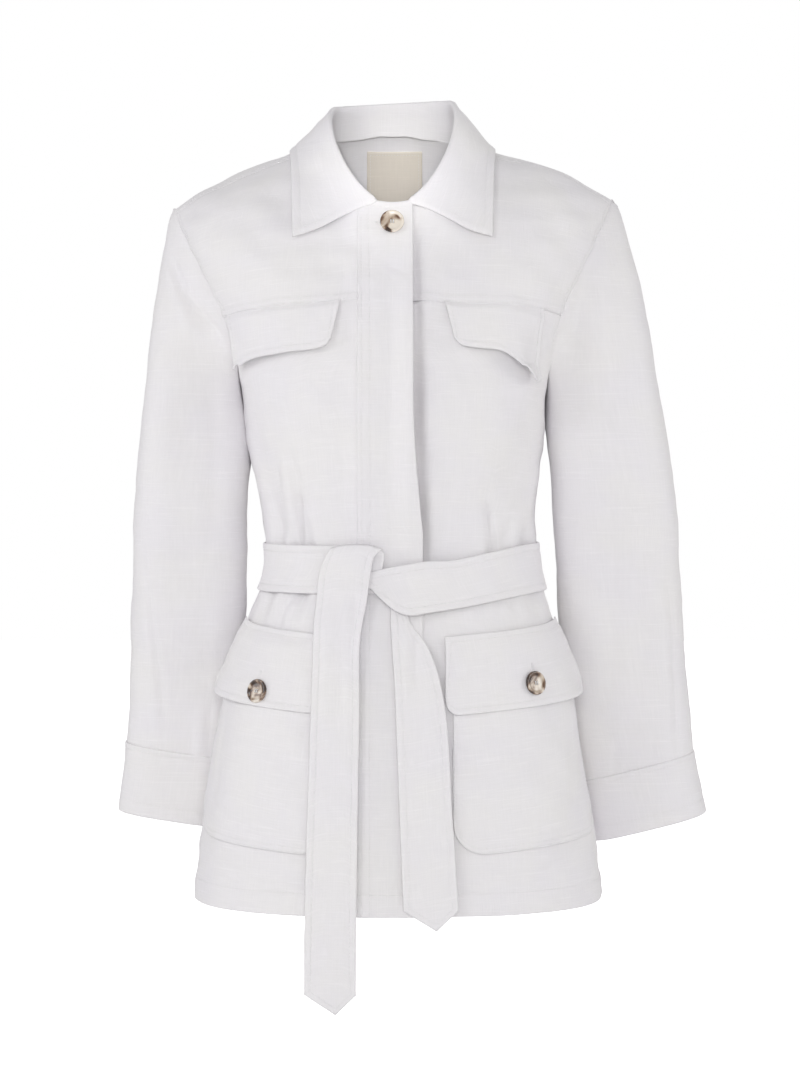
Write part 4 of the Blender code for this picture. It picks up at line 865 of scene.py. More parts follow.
def outsideTorso(side, x, y, z):  # a sleeve is pushed out against the torso's side, to sleeveClear from it
    rise = riseOfLevel(np.minimum(z, form["underarmZ"]))
    halfWidth, front, back, centre = sectionAt(rise)
    square = squareness(rise, y < 0)
    reach = halfWidth * np.maximum(1 - np.abs(y / np.where(y < 0, front, back)) ** square, 0) ** (1 / square)
    gap = x - side * centre - reach - sleeveClear
    return x - gap / 2 + np.sqrt(gap ** 2 + sleeveTouch ** 2) / 2


def sleeveRing(sizes, z, angle):
    outer, inner, middleY, halfDepth = (smoothRead(sizes, "z", column, z)
                                        for column in ("outer", "inner", "middleY", "halfDepth"))
    tilt = sizes["tilt"] * ease((sizes["z"][0] - z) / (sizes["z"][0] - sizes["z"][-2]))
    across, ahead = (np.sign(wave) * np.abs(wave) ** sleeveSquare for wave in (np.cos(angle), np.sin(angle)))
    # the inner side lies behind the torso, and is narrower there
    behind = np.exp(-((z - sizes["behindZ"]) / sizes["behindRun"]) ** 2) * (1 - across) / 2
    taper = ease((sleeveCut["taperFrom"] - ahead) / sleeveCut["taperRun"])
    taper = sleeveCut["taper"] * np.maximum(-across, 0) * taper
    x = (outer + inner) / 2 + (outer - inner) / 2 * across - sizes["behindX"] * behind + taper
    y = middleY - halfDepth * ahead + sizes["behindY"] * behind
    x, y, z = np.broadcast_arrays(x, y, z + tilt * across / 2)
    x = mix(x, outsideTorso(sizes["side"], x, y, z), ease((form["underarmZ"] - z) / clearRun))
    return np.stack((sizes["side"] * x, y, z), axis=-1)


angles = np.linspace(0, 2 * math.pi, sleeveColumns + 1)[None, :-1]


def around(grid):  # flat places round an arm: the way round, joined behind, and the height
    turned = np.where(angles > math.pi * 1.5, angles - 2 * math.pi, angles)
    return np.stack([sleeveCut["round"] * turned * np.ones_like(grid[..., 0]), grid[..., 2]], axis=-1)


def coreOf(grid):
    return np.broadcast_to(grid.mean(axis=1, keepdims=True), grid.shape)


for name, sizes in sleeves.items():
    side, topZ, wristZ = sizes["side"], sizes["z"][0], sizes["z"][-2]
    seam, seamNormal = armholePoint(side, angles)
    start = seam - seamNormal * sleeveCut["seamUnder"]  # under the body's edge
    f = np.linspace(0, 1, capRows + 1)[:, None]
    bulge = side * sizes["bulge"] * np.sin(math.pi * f ** sleeveCut["bulgeSkew"])
    cap = mix(start, sleeveRing(sizes, np.array(topZ), angles), f[..., None])
    cap[..., 0] += bulge * np.maximum(np.cos(angles), 0)
    armLevels = np.linspace(topZ, wristZ - sleeveCut["intoCuff"], sleeveRows + 1)[1:, None]
    grid = np.concatenate([cap, sleeveRing(sizes, armLevels, angles)])
    share = np.zeros((len(grid) - 2, 1, 1))
    share[sleeveCut["easeFrom"]:capRows + sleeveCut["easeRows"]] = 0.5
    grid = evened(grid, share, sleeveCut["easePasses"])  # the cap goes over into the arm
    core = coreOf(grid)
    normals, distance = gridNormals(grid, core, tube=True), edgeDistances(grid)
    fromSeam = distance["low"]
    forward = ease(0.5 - normals[..., 1])  # 1 on the sleeve's front, 0 behind
    relief = softWaves(grid, sleeveCut["wave"])
    for share, creases in ((forward, sizes["frontCreases"]), (1 - forward, sizes["backCreases"])):
        relief = relief + share * creaseHeight(grid[..., 0], grid[..., 2], creases)
    relief = relief * ease(fromSeam / sleeveCut["plainSeam"])
    relief = relief * ease((distance["high"] - sleeveCut["plainCuff"]) / sleeveCut["plainRun"])
    head = np.clip(fromSeam / sleeveCut["headRise"], 0, 1) * np.exp(-fromSeam / sleeveCut["headRun"])
    relief = relief + sleeveCut["head"] * head
    layCloth(f"sleeve_{name}", grid, normals, relief, "body", core, around)
    grid = sleeveRing(sizes, mix(wristZ, sizes["z"][-1], cuffDepths)[:, None], angles)
    core, distance = coreOf(grid), edgeDistances(grid)
    relief = cloth["cuff"] - cloth["body"] + softWaves(grid, cuff["wave"])
    for edge, inset in cuff["rows"]:
        relief = relief + welt(distance[edge], inset, cuff["welt"])
    normals = gridNormals(grid, core, tube=True)
    grid, normals = layCloth(f"cuff_{name}", grid, normals, relief, "cuff", core, around)
    for edge, inset in cuff["rows"]:
        ring = insetLine(grid, normals, edge, inset)
        sew("sleeveStitches", np.concatenate([ring, ring[:1]]))

print("collar")
collar = dict(endX=0.0155, pointX=0.0950, pointRise=0.385, shoulderX=0.101, backRise=0.66, standFront=0.0005,
              standBack=0.027, sideRise=0.004, standInset=0.009, roll=0.0022, clear=0.0046, stitchIn=0.0075,
              columns=70, backTop=0.0524, backTilt=0.057, backDepth=0.06, levelFrom=1.35, levelRun=0.75,
              tuckDown=0.0010, tuckIn=0.0008, backDrop=0.0045, dropFrom=0.15, dropRun=0.8, wave=0.0005,
              leafRow=24, endTrim=(0.002, 0.008), edgeTrim=(0.008, 0.008), softRun=0.35,
              softPasses=60, flat=(0.46, 0.10), area=0.0416)
eyeAway, eyeZ = -photoView["place"][1], photoView["place"][2]


def collarEndWay():
    low, high = math.pi / 2, math.pi
    for _ in range(40):
        middle = (low + high) / 2
        turn, rise = neckPlace(middle)
        low, high = (middle, high) if bodyPoint(turn, 2 - rise)[0] > collar["endX"] else (low, middle)
    return low


def collarSection(side, way, frontWay):
    share = (frontWay - way) / frontWay
    turn, rise = (float(value) for value in neckPlace(way))
    seam, normal = onBody(math.pi - side * turn, rise), bodyNormal(math.pi - side * turn, rise)
    spread = np.array((side * math.sin(way), math.cos(way), 0.0))
    level = np.array((normal[0], normal[1], 0.0))
    level = spread if np.linalg.norm(level) < 0.3 else unit(level)
    level = unit(level + spread)
    stand = mix(collar["standFront"], collar["standBack"], math.sin(share * math.pi / 2) ** 0.6)
    stand += collar["sideRise"] * math.sin(math.pi * share) ** 2
    up = np.array((0.0, 0.0, 1.0))
    low = seam - up * collar["tuckDown"] * ease(share * 4) - level * collar["tuckIn"]  # inside the neckline
    lower = 1 - ease((way - collar["dropFrom"]) / collar["dropRun"])
    low = low - up * collar["backDrop"] * lower  # its seam looks straight behind
    high = seam + up * stand - level * collar["standInset"] * math.sin(math.pi * share)
    # level behind, as seen from the camera's place
    straight = (collar["backTop"] - eyeZ + collar["backTilt"] * high[0]) * (eyeAway + high[1])
    straight = straight / (eyeAway + collar["backDepth"]) + eyeZ
    levelled = 1 - ease((way - collar["levelFrom"]) / collar["levelRun"])
    high[2] = mix(high[2], straight - collar["roll"], levelled)
    roll = collar["roll"] * mix(0.45, 1.0, ease(share * 5))
    line = [low, mix(low, high, 0.5), high]
    for bend in (0.25, 0.5, 0.75, 1.0):
        angle = bend * math.pi
        line.append(high + roll * (level * (1 - math.cos(angle)) + up * math.sin(angle)))
    if way > math.pi / 2:
        along = (frontWay - way) / (frontWay - math.pi / 2)
        edgeRise = 2 - mix(collar["pointRise"], 1, along)
        edgeX = mix(collar["pointX"], collar["shoulderX"], along)
        edgeTurn = math.pi - turnAtX(side * edgeX, 2 - edgeRise)
    else:
        along = way / (math.pi / 2)
        edgeRise = 1 - (1 - collar["backRise"]) * math.cos(along * math.pi / 2) ** 0.8
        edgeTurn = turnAtX(side * collar["shoulderX"] * math.sin(along * math.pi / 2), edgeRise, back=True)
    start, edge = line[-1], onBody(edgeTurn, edgeRise, collar["clear"])
    for v in (0.2, 0.45, 0.72, 1.0):
        point = mix(start, edge, v)
        if way > math.pi / 2:
            skin = onBody(mix(math.pi - side * turn, edgeTurn, v), mix(rise, edgeRise, v), collar["clear"])
            point = mix(point, skin, ease(v / 0.72) * ease((way - math.pi / 2) / 0.9))
        line.append(point)
    return np.array(line)


def resample(line, shares):  # a smooth curve through the points, read at shares of its length
    gone = runLengths(line)
    table = dict(at=gone, x=line[:, 0], y=line[:, 1], z=line[:, 2])
    return np.stack([smoothRead(table, "at", column, shares * gone[-1]) for column in "xyz"], axis=1)


frontWay = collarEndWay()
ways = np.linspace(frontWay, 0, collar["columns"] + 1)
shares = np.concatenate([np.linspace(0, 0.9, 46), [0.915, 0.93, 0.945, 0.958, 0.97, 0.982, 0.992, 1.0]])
lines = [resample(collarSection(-1, way, frontWay), shares) for way in ways]
lines += [resample(collarSection(1, way, frontWay), shares) for way in ways[-2::-1]]
allWays = np.concatenate([ways, ways[-2::-1]])
soften = 0.5 * np.exp(-((allWays - math.pi / 2) / collar["softRun"]) ** 2)[1:-1, None, None]
lines = evened(np.array(lines), soften, collar["softPasses"])  # the fold over the shoulders
middle = lines.transpose(1, 0, 2)


def crossNormals(grid):
    return unit(np.cross(np.gradient(grid, axis=1), np.gradient(grid, axis=0)))


leafEdge = middle[-12:]
core = np.broadcast_to(np.array((0.0, 0.0, -0.30)), leafEdge.shape)
normals = crossNormals(middle) * np.sign(np.sum(gridNormals(leafEdge, core) * crossNormals(leafEdge)))
grid = middle + normals * cloth["collar"] / 2
distance = edgeDistances(grid)
leaf = ease((np.arange(len(grid)) / (len(grid) - 1) - 0.45) / 0.1)[:, None]
relief = sum(welt(distance[edge], collar["stitchIn"]) for edge in ("high", "left", "right"))
grid = grid + normals * (leaf * (relief + softWaves(grid, collar["wave"])))[..., None]
addPiece("collar", shell(grid, normals, cloth["collar"]), linen)
sewEdges("collarStitches", grid, normals, collar["stitchIn"], high=collar["edgeTrim"])
leafRows = slice(collar["leafRow"], None)
sewEdges("collarStitches", grid[leafRows], normals[leafRows], collar["stitchIn"], left=collar["endTrim"],
         right=collar["endTrim"])

print("pockets and flaps")
pocket = dict(innerX=0.0575, outerTurn=math.radians(82), top=-0.500, bottom=-0.686, tilt=0.013, corner=0.032,
              out=cloth["layGap"] + cloth["body"], edgeStitch=0.0016, stitchIn=0.0055, trim=(0.02, 0.02),
              welt=0.0009, puff=0.0012, deepest=-0.001, creased=0.8, columns=60, rows=64,
              flat=(0.18, 0.20), area=0.034)
pocketFlap = dict(innerX=0.0500, outerTurn=math.radians(84), top=-0.479, bottom=-0.553, corner=0.014,
                  lift=0.007, liftFrom=0.35, over=0.22, stitchIn=0.0055, puff=0.0012, raised=0.0005,
                  deepest=-0.0002, columns=64, rows=32, flat=(0.18, 0.080), area=0.0142,
                  trims=dict(left=(0.006, 0.008), right=(0.006, 0.008), high=(0.004, 0.004),
                             low=(0.006, 0.006)))
chestFlaps = dict(
    innerX=0.049, slant=0.012, lift=0.007, stitchIn=0.0055, puff=0.0008, topUp=0.004, lapRun=0.3,
    curlRun=0.16, letIn=-0.0008, letInRun=0.14, columns=56, rows=30,
    trims=dict(left=(0.001, 0.006), right=(0.001, 0.006), high=(0.006, 0.006)),
    right=dict(side=-1, topReach=0.955, lowReach=0.985, curlAt=1.0, curl=0.002,
               flat=(0.105, 0.060), area=0.0062,
               along=(0, 0.04, 0.10, 0.45, 0.74, 0.90, 1.0),
               drop=(0.035, 0.040, 0.0425, 0.044, 0.043, 0.046, 0.050)),
    left=dict(side=1, topReach=0.828, lowReach=0.900, curlAt=0.76, curl=0.011,
              flat=(0.105, 0.058), area=0.0058,
              along=(0, 0.05, 0.12, 0.26, 0.52, 0.70, 0.84, 0.93, 1.0),
              drop=(0.034, 0.039, 0.0415, 0.043, 0.045, 0.054, 0.066, 0.068, 0.065)),
)
pocketCreases = (  # the way out from the inner edge and z, alike on both sides
    (0.01, -0.664, 0.06, -0.672, -0.002, 0.005, -0.001),
    (0.06, -0.668, 0.13, -0.66, -0.003, 0.005, -0.001),
    (0.13, -0.655, 0.16, -0.64, -0.002, 0.0055, -0.0012),
    (0.03, -0.61, 0.11, -0.618, 0.002, 0.006, -0.0007),
    (0.02, -0.57, 0.08, -0.574, 0.002, 0.005, -0.0006),
    (0.14, -0.56, 0.15, -0.64, 0.003, 0.006, -0.001),
)


def patchPlaces(side, sizes):
    middleRise = riseOfLevel((sizes["top"] + sizes["bottom"]) / 2)
    width = np.linalg.norm(bodyPoint(side * turnAtX(side * sizes["innerX"], middleRise), middleRise)
                           - bodyPoint(sizes["outerTurn"], middleRise))
    u = (1 - np.cos(np.linspace(0, math.pi, sizes["columns"] + 1))) / 2
    u = mix(u, np.linspace(0, 1, sizes["columns"] + 1), 0.45)[None, :]
    v = np.linspace(0, 1, sizes["rows"] + 1)
    v = mix(v, (1 - np.cos(v * math.pi)) / 2, 0.5)[:, None]
    distance, radius = np.minimum(u, 1 - u) * width, sizes["corner"]
    inward = np.maximum(radius - distance, 0)
    lift = np.where(distance < radius, radius - np.sqrt(np.maximum(radius ** 2 - inward ** 2, 0)), 0)
    rise = riseOfLevel(mix(sizes["top"], sizes["bottom"] + lift, v) + pocket["tilt"] * u)
    first = side * turnAtX(side * sizes["innerX"], rise)
    return side * mix(first, sizes["outerTurn"], u), rise, u, v


def puffed(u, v):
    return np.sin(math.pi * u) * np.sin(math.pi * v)


freeEdges = ("left", "right", "high")
flapOver, flapWelt = cloth["layGap"] + cloth["flap"], 0.0006
for name, side in (("right", -1), ("left", 1)):
    turn, rise, u, v = patchPlaces(side, pocket)
    grid, normals, distance = laidOn(turn, rise, pocket["out"])
    relief = np.maximum(frontRelief(grid), pocket["deepest"])
    relief = relief + creaseHeight(distance["left"], grid[..., 2], pocketCreases) * pocket["creased"]
    relief = relief + edgeWelts(distance, pocket["stitchIn"], pocket["welt"], freeEdges)
    relief = relief + pocket["puff"] * puffed(u, v)
    grid, normals = layCloth(f"pocket_{name}", grid, normals, relief, "body")
    for row in ("edgeStitch", "stitchIn"):
        sewEdges("pocketStitches", grid, normals, pocket[row], left=pocket["trim"], right=pocket["trim"],
                 high=whole)
    turn, rise, u, v = patchPlaces(side, pocketFlap)
    over = mix(flapOver, pocket["out"] + flapOver, ease(v / pocketFlap["over"]))
    lift = pocketFlap["lift"] * v ** 2 * ease((u - pocketFlap["liftFrom"]) / (1 - pocketFlap["liftFrom"]))
    grid, normals, distance = laidOn(turn, rise, over + lift)
    relief = np.maximum(frontRelief(grid), pocketFlap["deepest"]) + pocketFlap["puff"] * puffed(u, v)
    relief = relief + pocketFlap["raised"]
    relief = relief + edgeWelts(distance, pocketFlap["stitchIn"], flapWelt, pocketFlap["trims"])
    grid, normals = layCloth(f"pocket_flap_{name}", grid, normals, relief, "flap")
    sewEdges("pocketStitches", grid, normals, pocketFlap["stitchIn"], **pocketFlap["trims"])

    sizes = chestFlaps[name]
    u = np.linspace(0, 1, chestFlaps["columns"] + 1)[None, :]
    v = np.linspace(0, 1, chestFlaps["rows"] + 1)[:, None]
    startX = chestFlaps["innerX"] + chestFlaps["slant"] * v
    start = side * turnAtX(side * startX, np.full(v.shape, yoke["middleRise"]))
    reach = mix(sizes["topReach"], sizes["lowReach"], v)
    turn = side * mix(start, reach * frontOuterTurn(yoke["rise"]), u)
    top = bodyPoint(turn, yokeRise(turn) + chestFlaps["topUp"])[..., 2]
    rise = riseAtLevel(turn, top - v * smoothRead(sizes, "along", "drop", u))
    lap = placket["lapRaise"] * (1 - ease(u / chestFlaps["lapRun"])) if name == "right" else 0.0
    curl = chestFlaps["lift"] * v ** 2 * mix(0.4, 1.0, ease(u))
    curl = curl + sizes["curl"] * v ** 2.5 * np.exp(-((u - sizes["curlAt"]) / chestFlaps["curlRun"]) ** 2)
    out = mix(chestFlaps["letIn"], flapOver, ease(v / chestFlaps["letInRun"]))  # let into the yoke's seam
    grid, normals, distance = laidOn(turn, rise, out + lap + curl)
    relief = np.maximum(frontRelief(grid), 0.0) + chestFlaps["puff"] * puffed(u, v)
    relief = relief + edgeWelts(distance, chestFlaps["stitchIn"], flapWelt, freeEdges)
    grid, normals = layCloth(f"chest_flap_{name}", grid, normals, relief, "flap")
    sewEdges("pocketStitches", grid, normals, chestFlaps["stitchIn"], **chestFlaps["trims"])

print("belt")
beltBand = dict(stitchIn=0.0065, trim=(0.002, 0.002), welt=0.0006, wave=0.0006, waveLimit=-0.0003,
                creaseLimit=-0.0005, flat=(0.82, 0.046))
waistRise = riseOfLevel(waistZ)
startTurn, endTurn = (float(turnAtX(beltSizes[key], waistRise)) for key in ("leftEndX", "rightEndX"))
turns = np.linspace(startTurn, endTurn - 2 * math.pi, 260)[None, :]
signed = (turns + math.pi) % (2 * math.pi) - math.pi
arriving = turns < -1.2 * math.pi + startTurn  # the last stretch, which rides up over the knot
drop = np.where(arriving, beltSizes["drop"] * ease(1 - signed / math.radians(70)), 0.0)
near = np.where(signed < 0, 1.0, ease(1 - np.abs(signed) / math.radians(60)))
down = np.array((0, 0.03, 0.07, 0.11, 0.14, 0.17, 0.22, 0.30, 0.40, 0.50, 0.60, 0.70, 0.78, 0.83, 0.86,
                 0.89, 0.93, 0.97, 1))[:, None]
knot = dict(x=(-0.040, -0.021, -0.001, 0.015, 0.035, 0.060), endX=0.030, endRun=0.035,
            top=(-0.4195, -0.4174, -0.4126, -0.4097, -0.4065, -0.4040),
            bottom=(-0.4290, -0.4328, -0.4510, -0.4585, -0.4560, -0.4510))
levelZ = beltSizes["top"] - drop - beltSizes["width"] * down
bandX = bodyPoint(turns, np.full_like(turns, waistRise))[..., 0]
knotZ = mix(smoothRead(knot, "x", "top", bandX), smoothRead(knot, "x", "bottom", bandX), down)
inKnot = np.where(arriving, 1 - ease((bandX - knot["endX"]) / knot["endRun"]), 0.0)
rise = riseOfLevel(mix(levelZ, knotZ, inKnot))
out = beltSizes["gap"] + cloth["belt"] + np.where(arriving, beltSizes["rightRaise"] * near, 0.0)
out = out + np.where(turns > startTurn - math.radians(80), lapRaise(turns, rise), 0.0)
grid, normals, distance = laidOn(turns * np.ones_like(rise), rise, out, folded=False)
bandCreases = (  # the way along the belt and down it, in metres
    (0.004, 0.012, 0.09, 0.02, 0.002, 0.006, -0.0008),
    (0.78, 0.03, 0.835, 0.022, 0.003, 0.006, 0.0022),
    (0.77, 0.016, 0.838, 0.01, 0.002, 0.005, -0.0016),
    (0.7, 0.02, 0.79, 0.024, 0.002, 0.006, -0.0008),
    (0.3, 0.02, 0.42, 0.024, 0.002, 0.006, -0.0008),
)
relief = edgeWelts(distance, beltBand["stitchIn"], beltBand["welt"], ("low", "high"))
relief = relief + np.maximum(softWaves(grid, beltBand["wave"]), beltBand["waveLimit"])
creased = creaseHeight(distance["left"], distance["low"], bandCreases)
relief = relief + np.maximum(creased, beltBand["creaseLimit"])
grid, normals = layCloth("belt_band", grid, normals, relief, "belt")
sewEdges("beltStitches", grid, normals, beltBand["stitchIn"], low=beltBand["trim"], high=beltBand["trim"])

beltEnds = dict(
    long=dict(
        flat=(0.050, 0.50), area=0.0244, stitchIn=0.0060,
        left=(-0.064, -0.064, -0.062, -0.060, -0.063, -0.069, -0.072, -0.075,
              -0.077, -0.079, -0.081, -0.083, -0.083),
        right=(-0.014, -0.010, -0.0085, -0.010, -0.0165, -0.021, -0.0245, -0.0315,
               -0.032, -0.033, -0.034, -0.035, -0.035),
        off=(0.0066, 0.0066, 0.0072, 0.0098, 0.0128, 0.0142, 0.0136, 0.0112,
             0.0095, 0.0090, 0.0085, 0.0080, 0.0075),
        z=(-0.436, -0.410, -0.396, -0.3895, -0.395, -0.412, -0.440, -0.480,
           -0.540, -0.610, -0.680, -0.745, -0.815),
        creases=(  # across and z
            (-0.05, -0.44, -0.052, -0.56, 0.002, 0.005, -0.0016),
            (-0.036, -0.432, -0.042, -0.5, 0.002, 0.005, -0.0022),
            (-0.062, -0.45, -0.066, -0.56, 0.001, 0.005, 0.0012),
            (-0.06, -0.64, -0.046, -0.656, 0.001, 0.005, -0.0008),
            (-0.076, -0.73, -0.045, -0.735, 0.001, 0.006, -0.0006),
        ),
    ),
    short=dict(
        flat=(0.046, 0.32), area=0.0143, stitchIn=0.0060,
        left=(0.000, -0.0015, -0.001, 0.000, 0.002, 0.004, 0.007, 0.011),
        right=(0.016, 0.0150, 0.0240, 0.0340, 0.0430, 0.0510, 0.0555, 0.0620),
        off=(0.0042, 0.0044, 0.0060, 0.0075, 0.0085, 0.0090, 0.0088, 0.0080),
        z=(-0.432, -0.460, -0.474, -0.4895, -0.5136, -0.560, -0.637, -0.735),
        creases=(
            (0.024, -0.44, 0.02, -0.53, -0.002, 0.0048, -0.0026),
            (0.014, -0.45, 0.012, -0.54, 0.001, 0.005, 0.0012),
            (0.03, -0.47, 0.036, -0.58, 0.002, 0.006, 0.0012),
            (0.018, -0.6, 0.04, -0.612, 0.001, 0.006, -0.0008),
        ),
    ),
)
tailPoint = dict(length=0.019, at=0.60, run=0.05, bend=1.5, foldDrop=0.0045, foldRun=0.018, fineRun=0.012,
                 fine=np.array((0.0095, 0.007, 0.0045, 0.0022, 0.0)), sideTrim=(0.02, 0.006),
                 tipTrim=(0.006, 0.006), wave=0.0010)
tailAcross = np.array((0, 0.03, 0.07, 0.11, 0.14, 0.18, 0.24, 0.31, 0.38, 0.45, 0.52, 0.60, 0.67, 0.74, 0.80,
                       0.84, 0.88, 0.92, 0.97, 1))[None, :]
for name, sizes in beltEnds.items():
    columns = ("left", "right", "off", "z")
    gone = runLengths(np.stack([sizes["off"], sizes["z"]], axis=1))
    table = dict(at=gone, **{column: sizes[column] for column in columns})
    at = np.concatenate([np.linspace(0, gone[-1] - tailPoint["fineRun"], 120), gone[-1] - tailPoint["fine"]])
    left, right, off, z = (smoothRead(table, "at", column, at)[:, None] for column in columns)
    u = tailAcross
    point = tailPoint["length"] * np.minimum(u / tailPoint["at"], (1 - u) / (1 - tailPoint["at"]))
    nearTip = np.clip((at - gone[-1] + tailPoint["run"]) / tailPoint["run"], 0, 1)[:, None]
    x, z = mix(left, right, u), z - point * nearTip ** tailPoint["bend"]
    if name == "long":  # the fold's top is rounded at both ends
        atFold = np.exp(-((at[:, None] - gone[3]) / tailPoint["foldRun"]) ** 2)
        z = z - tailPoint["foldDrop"] * np.abs(2 * u - 1) ** 3 * atFold
    grid = np.stack([x, frontDepthAt(x, z) - off, z], axis=-1)
    normals = crossNormals(grid)
    sign = 1 if normals[-40:, :, 1].sum() < 0 else -1  # the outside of the hanging stretch faces the viewer
    normals = normals * sign
    distance = edgeDistances(grid)
    grid = grid + normals * cloth["belt"] / 2
    relief = edgeWelts(distance, sizes["stitchIn"], beltBand["welt"], freeEdges)
    relief = relief + np.maximum(softWaves(grid, tailPoint["wave"]), -tailPoint["wave"])
    hanging = (at > gone[4 if name == "long" else 1])[:, None]
    relief = relief + np.where(hanging, creaseHeight(grid[..., 0], grid[..., 2], sizes["creases"]), 0)
    grid = grid + normals * relief[..., None]
    normals = crossNormals(grid) * sign
    addPiece(f"belt_end_{name}", shell(grid, normals, cloth["belt"]), linen)
    sewEdges("beltStitches", grid, normals, sizes["stitchIn"], left=tailPoint["sideTrim"],
             right=tailPoint["sideTrim"], high=tailPoint["tipTrim"])

print("label")
label = dict(leftX=-0.027, rightX=0.030, top=0.006, bottom=-0.054, gap=0.0013, stitchIn=0.003,
             trim=(0.003, 0.003), rows=34, columns=32, flat=(0.057, 0.061))
z = np.linspace(label["bottom"], label["top"], label["rows"])[:, None]
x = np.linspace(label["rightX"], label["leftX"], label["columns"])[None, :]
turn = np.full((label["rows"], label["columns"]), math.pi)
for _ in range(8):
    rise = riseAtLevel(turn, z)
    turn = turnAtX(x, rise, back=True)
grid = onBody(turn, rise, -cloth["body"] - label["gap"] - cloth["label"])
normals = crossNormals(grid)
normals = normals if np.sum(normals * bodyNormal(turn, rise)) < 0 else -normals
addPiece("neck_label", shell(grid, normals, cloth["label"]), labelCloth)
sewEdges("labelStitches", grid, normals, label["stitchIn"], left=label["trim"], right=label["trim"],
         low=label["trim"], high=label["trim"])

print("buttons")
button = dict(radius=0.0115, height=0.0036, rim=0.0030, dish=0.0010, sides=72, holeRadius=0.0010,
              holeSpacing=0.0017, holeSides=16, pocketGap=0.0012, seatUp=0.0006, sharp=math.radians(50))
buttonPlaces = dict(button_top=(-0.0005, -0.0825), button_pocket_right=(-0.126, -0.533),
                    button_pocket_left=(0.133, -0.525))
slits = dict(top=((-0.0165, 0.0), (-0.0105, 0.0)), pocket=((0.0, 0.0105), (0.0, 0.0195)))


def turnedMesh(name, profile, sides):
    angle = np.linspace(0, 2 * math.pi, sides + 1)[:-1]
    points = [(r * math.cos(a), r * math.sin(a), h) for r, h in profile for a in angle]
    faces = []
    for low in range(0, (len(profile) - 1) * sides, sides):
        ring = [(low + k, low + (k + 1) % sides) for k in range(sides)]
        faces += [(here, after, after + sides, here + sides) for here, after in ring]
    faces += [tuple(range(sides))[::-1], tuple(range((len(profile) - 1) * sides, len(profile) * sides))]
    mesh = bpy.data.meshes.new(name)
    mesh.from_pydata(points, [], faces)
    return mesh


def bakedCopy(source, name):  # the evaluated mesh as plain data, with the helper removed
    graph = bpy.context.evaluated_depsgraph_get()
    mesh = bpy.data.meshes.new_from_object(source.evaluated_get(graph))
    mesh.name = name
    bpy.data.objects.remove(source)
    return mesh


def buttonMesh():
    r, h, rim, dish = (button[key] for key in ("radius", "height", "rim", "dish"))
    bend = np.linspace(0, math.pi / 2, 6)
    profile = [(r - 0.0014, 0.0), (r - 0.0004, h * 0.12), (r, h * 0.38)]
    profile += [(r - 0.0009 + 0.0009 * math.cos(a), h * 0.62 + h * 0.38 * math.sin(a)) for a in bend]
    profile += [(r - 0.0018, h), (r - rim + 0.0003, h - dish * 0.35), (r - rim - 0.0006, h - dish * 0.85),
                (r - rim - 0.0016, h - dish)]
    body = show("buttonBlank", turnedMesh("buttonBlank", profile, button["sides"]))
    drill = [(button["holeRadius"], -0.002), (button["holeRadius"], 0.006)]
    cutters = []
    for k in range(4):
        angle = math.pi / 4 + k * math.pi / 2
        cutter = show(f"hole{k}", turnedMesh(f"hole{k}", drill, button["holeSides"]))
        cutter.location = [button["holeSpacing"] * part for part in (math.cos(angle), math.sin(angle), 0)]
        cut = body.modifiers.new(f"hole{k}", "BOOLEAN")
        cut.operation, cut.object, cut.solver = "DIFFERENCE", cutter, "EXACT"
        cutters.append(cutter)
    bpy.context.view_layer.update()
    mesh = bakedCopy(body, "button")
    for cutter in cutters:
        bpy.data.objects.remove(cutter)
    return mesh


plainButton = buttonMesh()
for name, (x, z) in buttonPlaces.items():
    if name == "button_top":
        turn = turnAtX(x, neck["frontRise"])
        rise = riseAtLevel(turn, z)
        turn = turnAtX(x, rise)
        seat = onBody(turn, rise, placket["out"] + cloth["layGap"], folded=False)
    else:
        rise = riseOfLevel(z)
        turn = turnAtX(x, rise)
        seat = onBody(turn, rise, pocket["out"] + cloth["layGap"] + cloth["flap"] + button["pocketGap"])
    normal = bodyNormal(turn, rise)
    across = unit(np.cross((0.0, 0.0, 1.0), normal))
    place = np.eye(4)
    place[:3, :3] = np.stack([across, np.cross(normal, across), normal], axis=1)
    place[:3, 3] = seat + normal * button["seatUp"]
    mesh = plainButton.copy()
    mesh.transform(Matrix(place.tolist()))
    mesh.materials.clear()
    mesh.materials.append(horn)
    mesh.shade_smooth()
    mesh.set_sharp_from_angle(angle=button["sharp"])
    onRoot(name, mesh, name)
    s, top = button["holeSpacing"] * 0.71, button["height"] - button["dish"] + 0.0003
    for k in (-1, 1):
        for shift in (-0.0003, 0.0003):
            bar = np.array([(k * s + shift, t * s, top) for t in np.linspace(-1.15, 1.15, 7)])
            bar[:, 2] += 0.0005 * (1 - np.linspace(-1.15, 1.15, 7) ** 2)
            sew("buttonThreads", bar @ place[:3, :3].T + place[:3, 3])
    slit = slits["top" if name == "button_top" else "pocket"]
    for shift in (-0.0008, 0.0008):
        line = np.array([(a if a else shift, b if b else shift, -0.0001) for a, b in slit])
        line = mix(line[:1], line[1:], np.linspace(0, 1, 9)[:, None])
        sew("buttonholes", line @ place[:3, :3].T + place[:3, 3])

print("stitches")


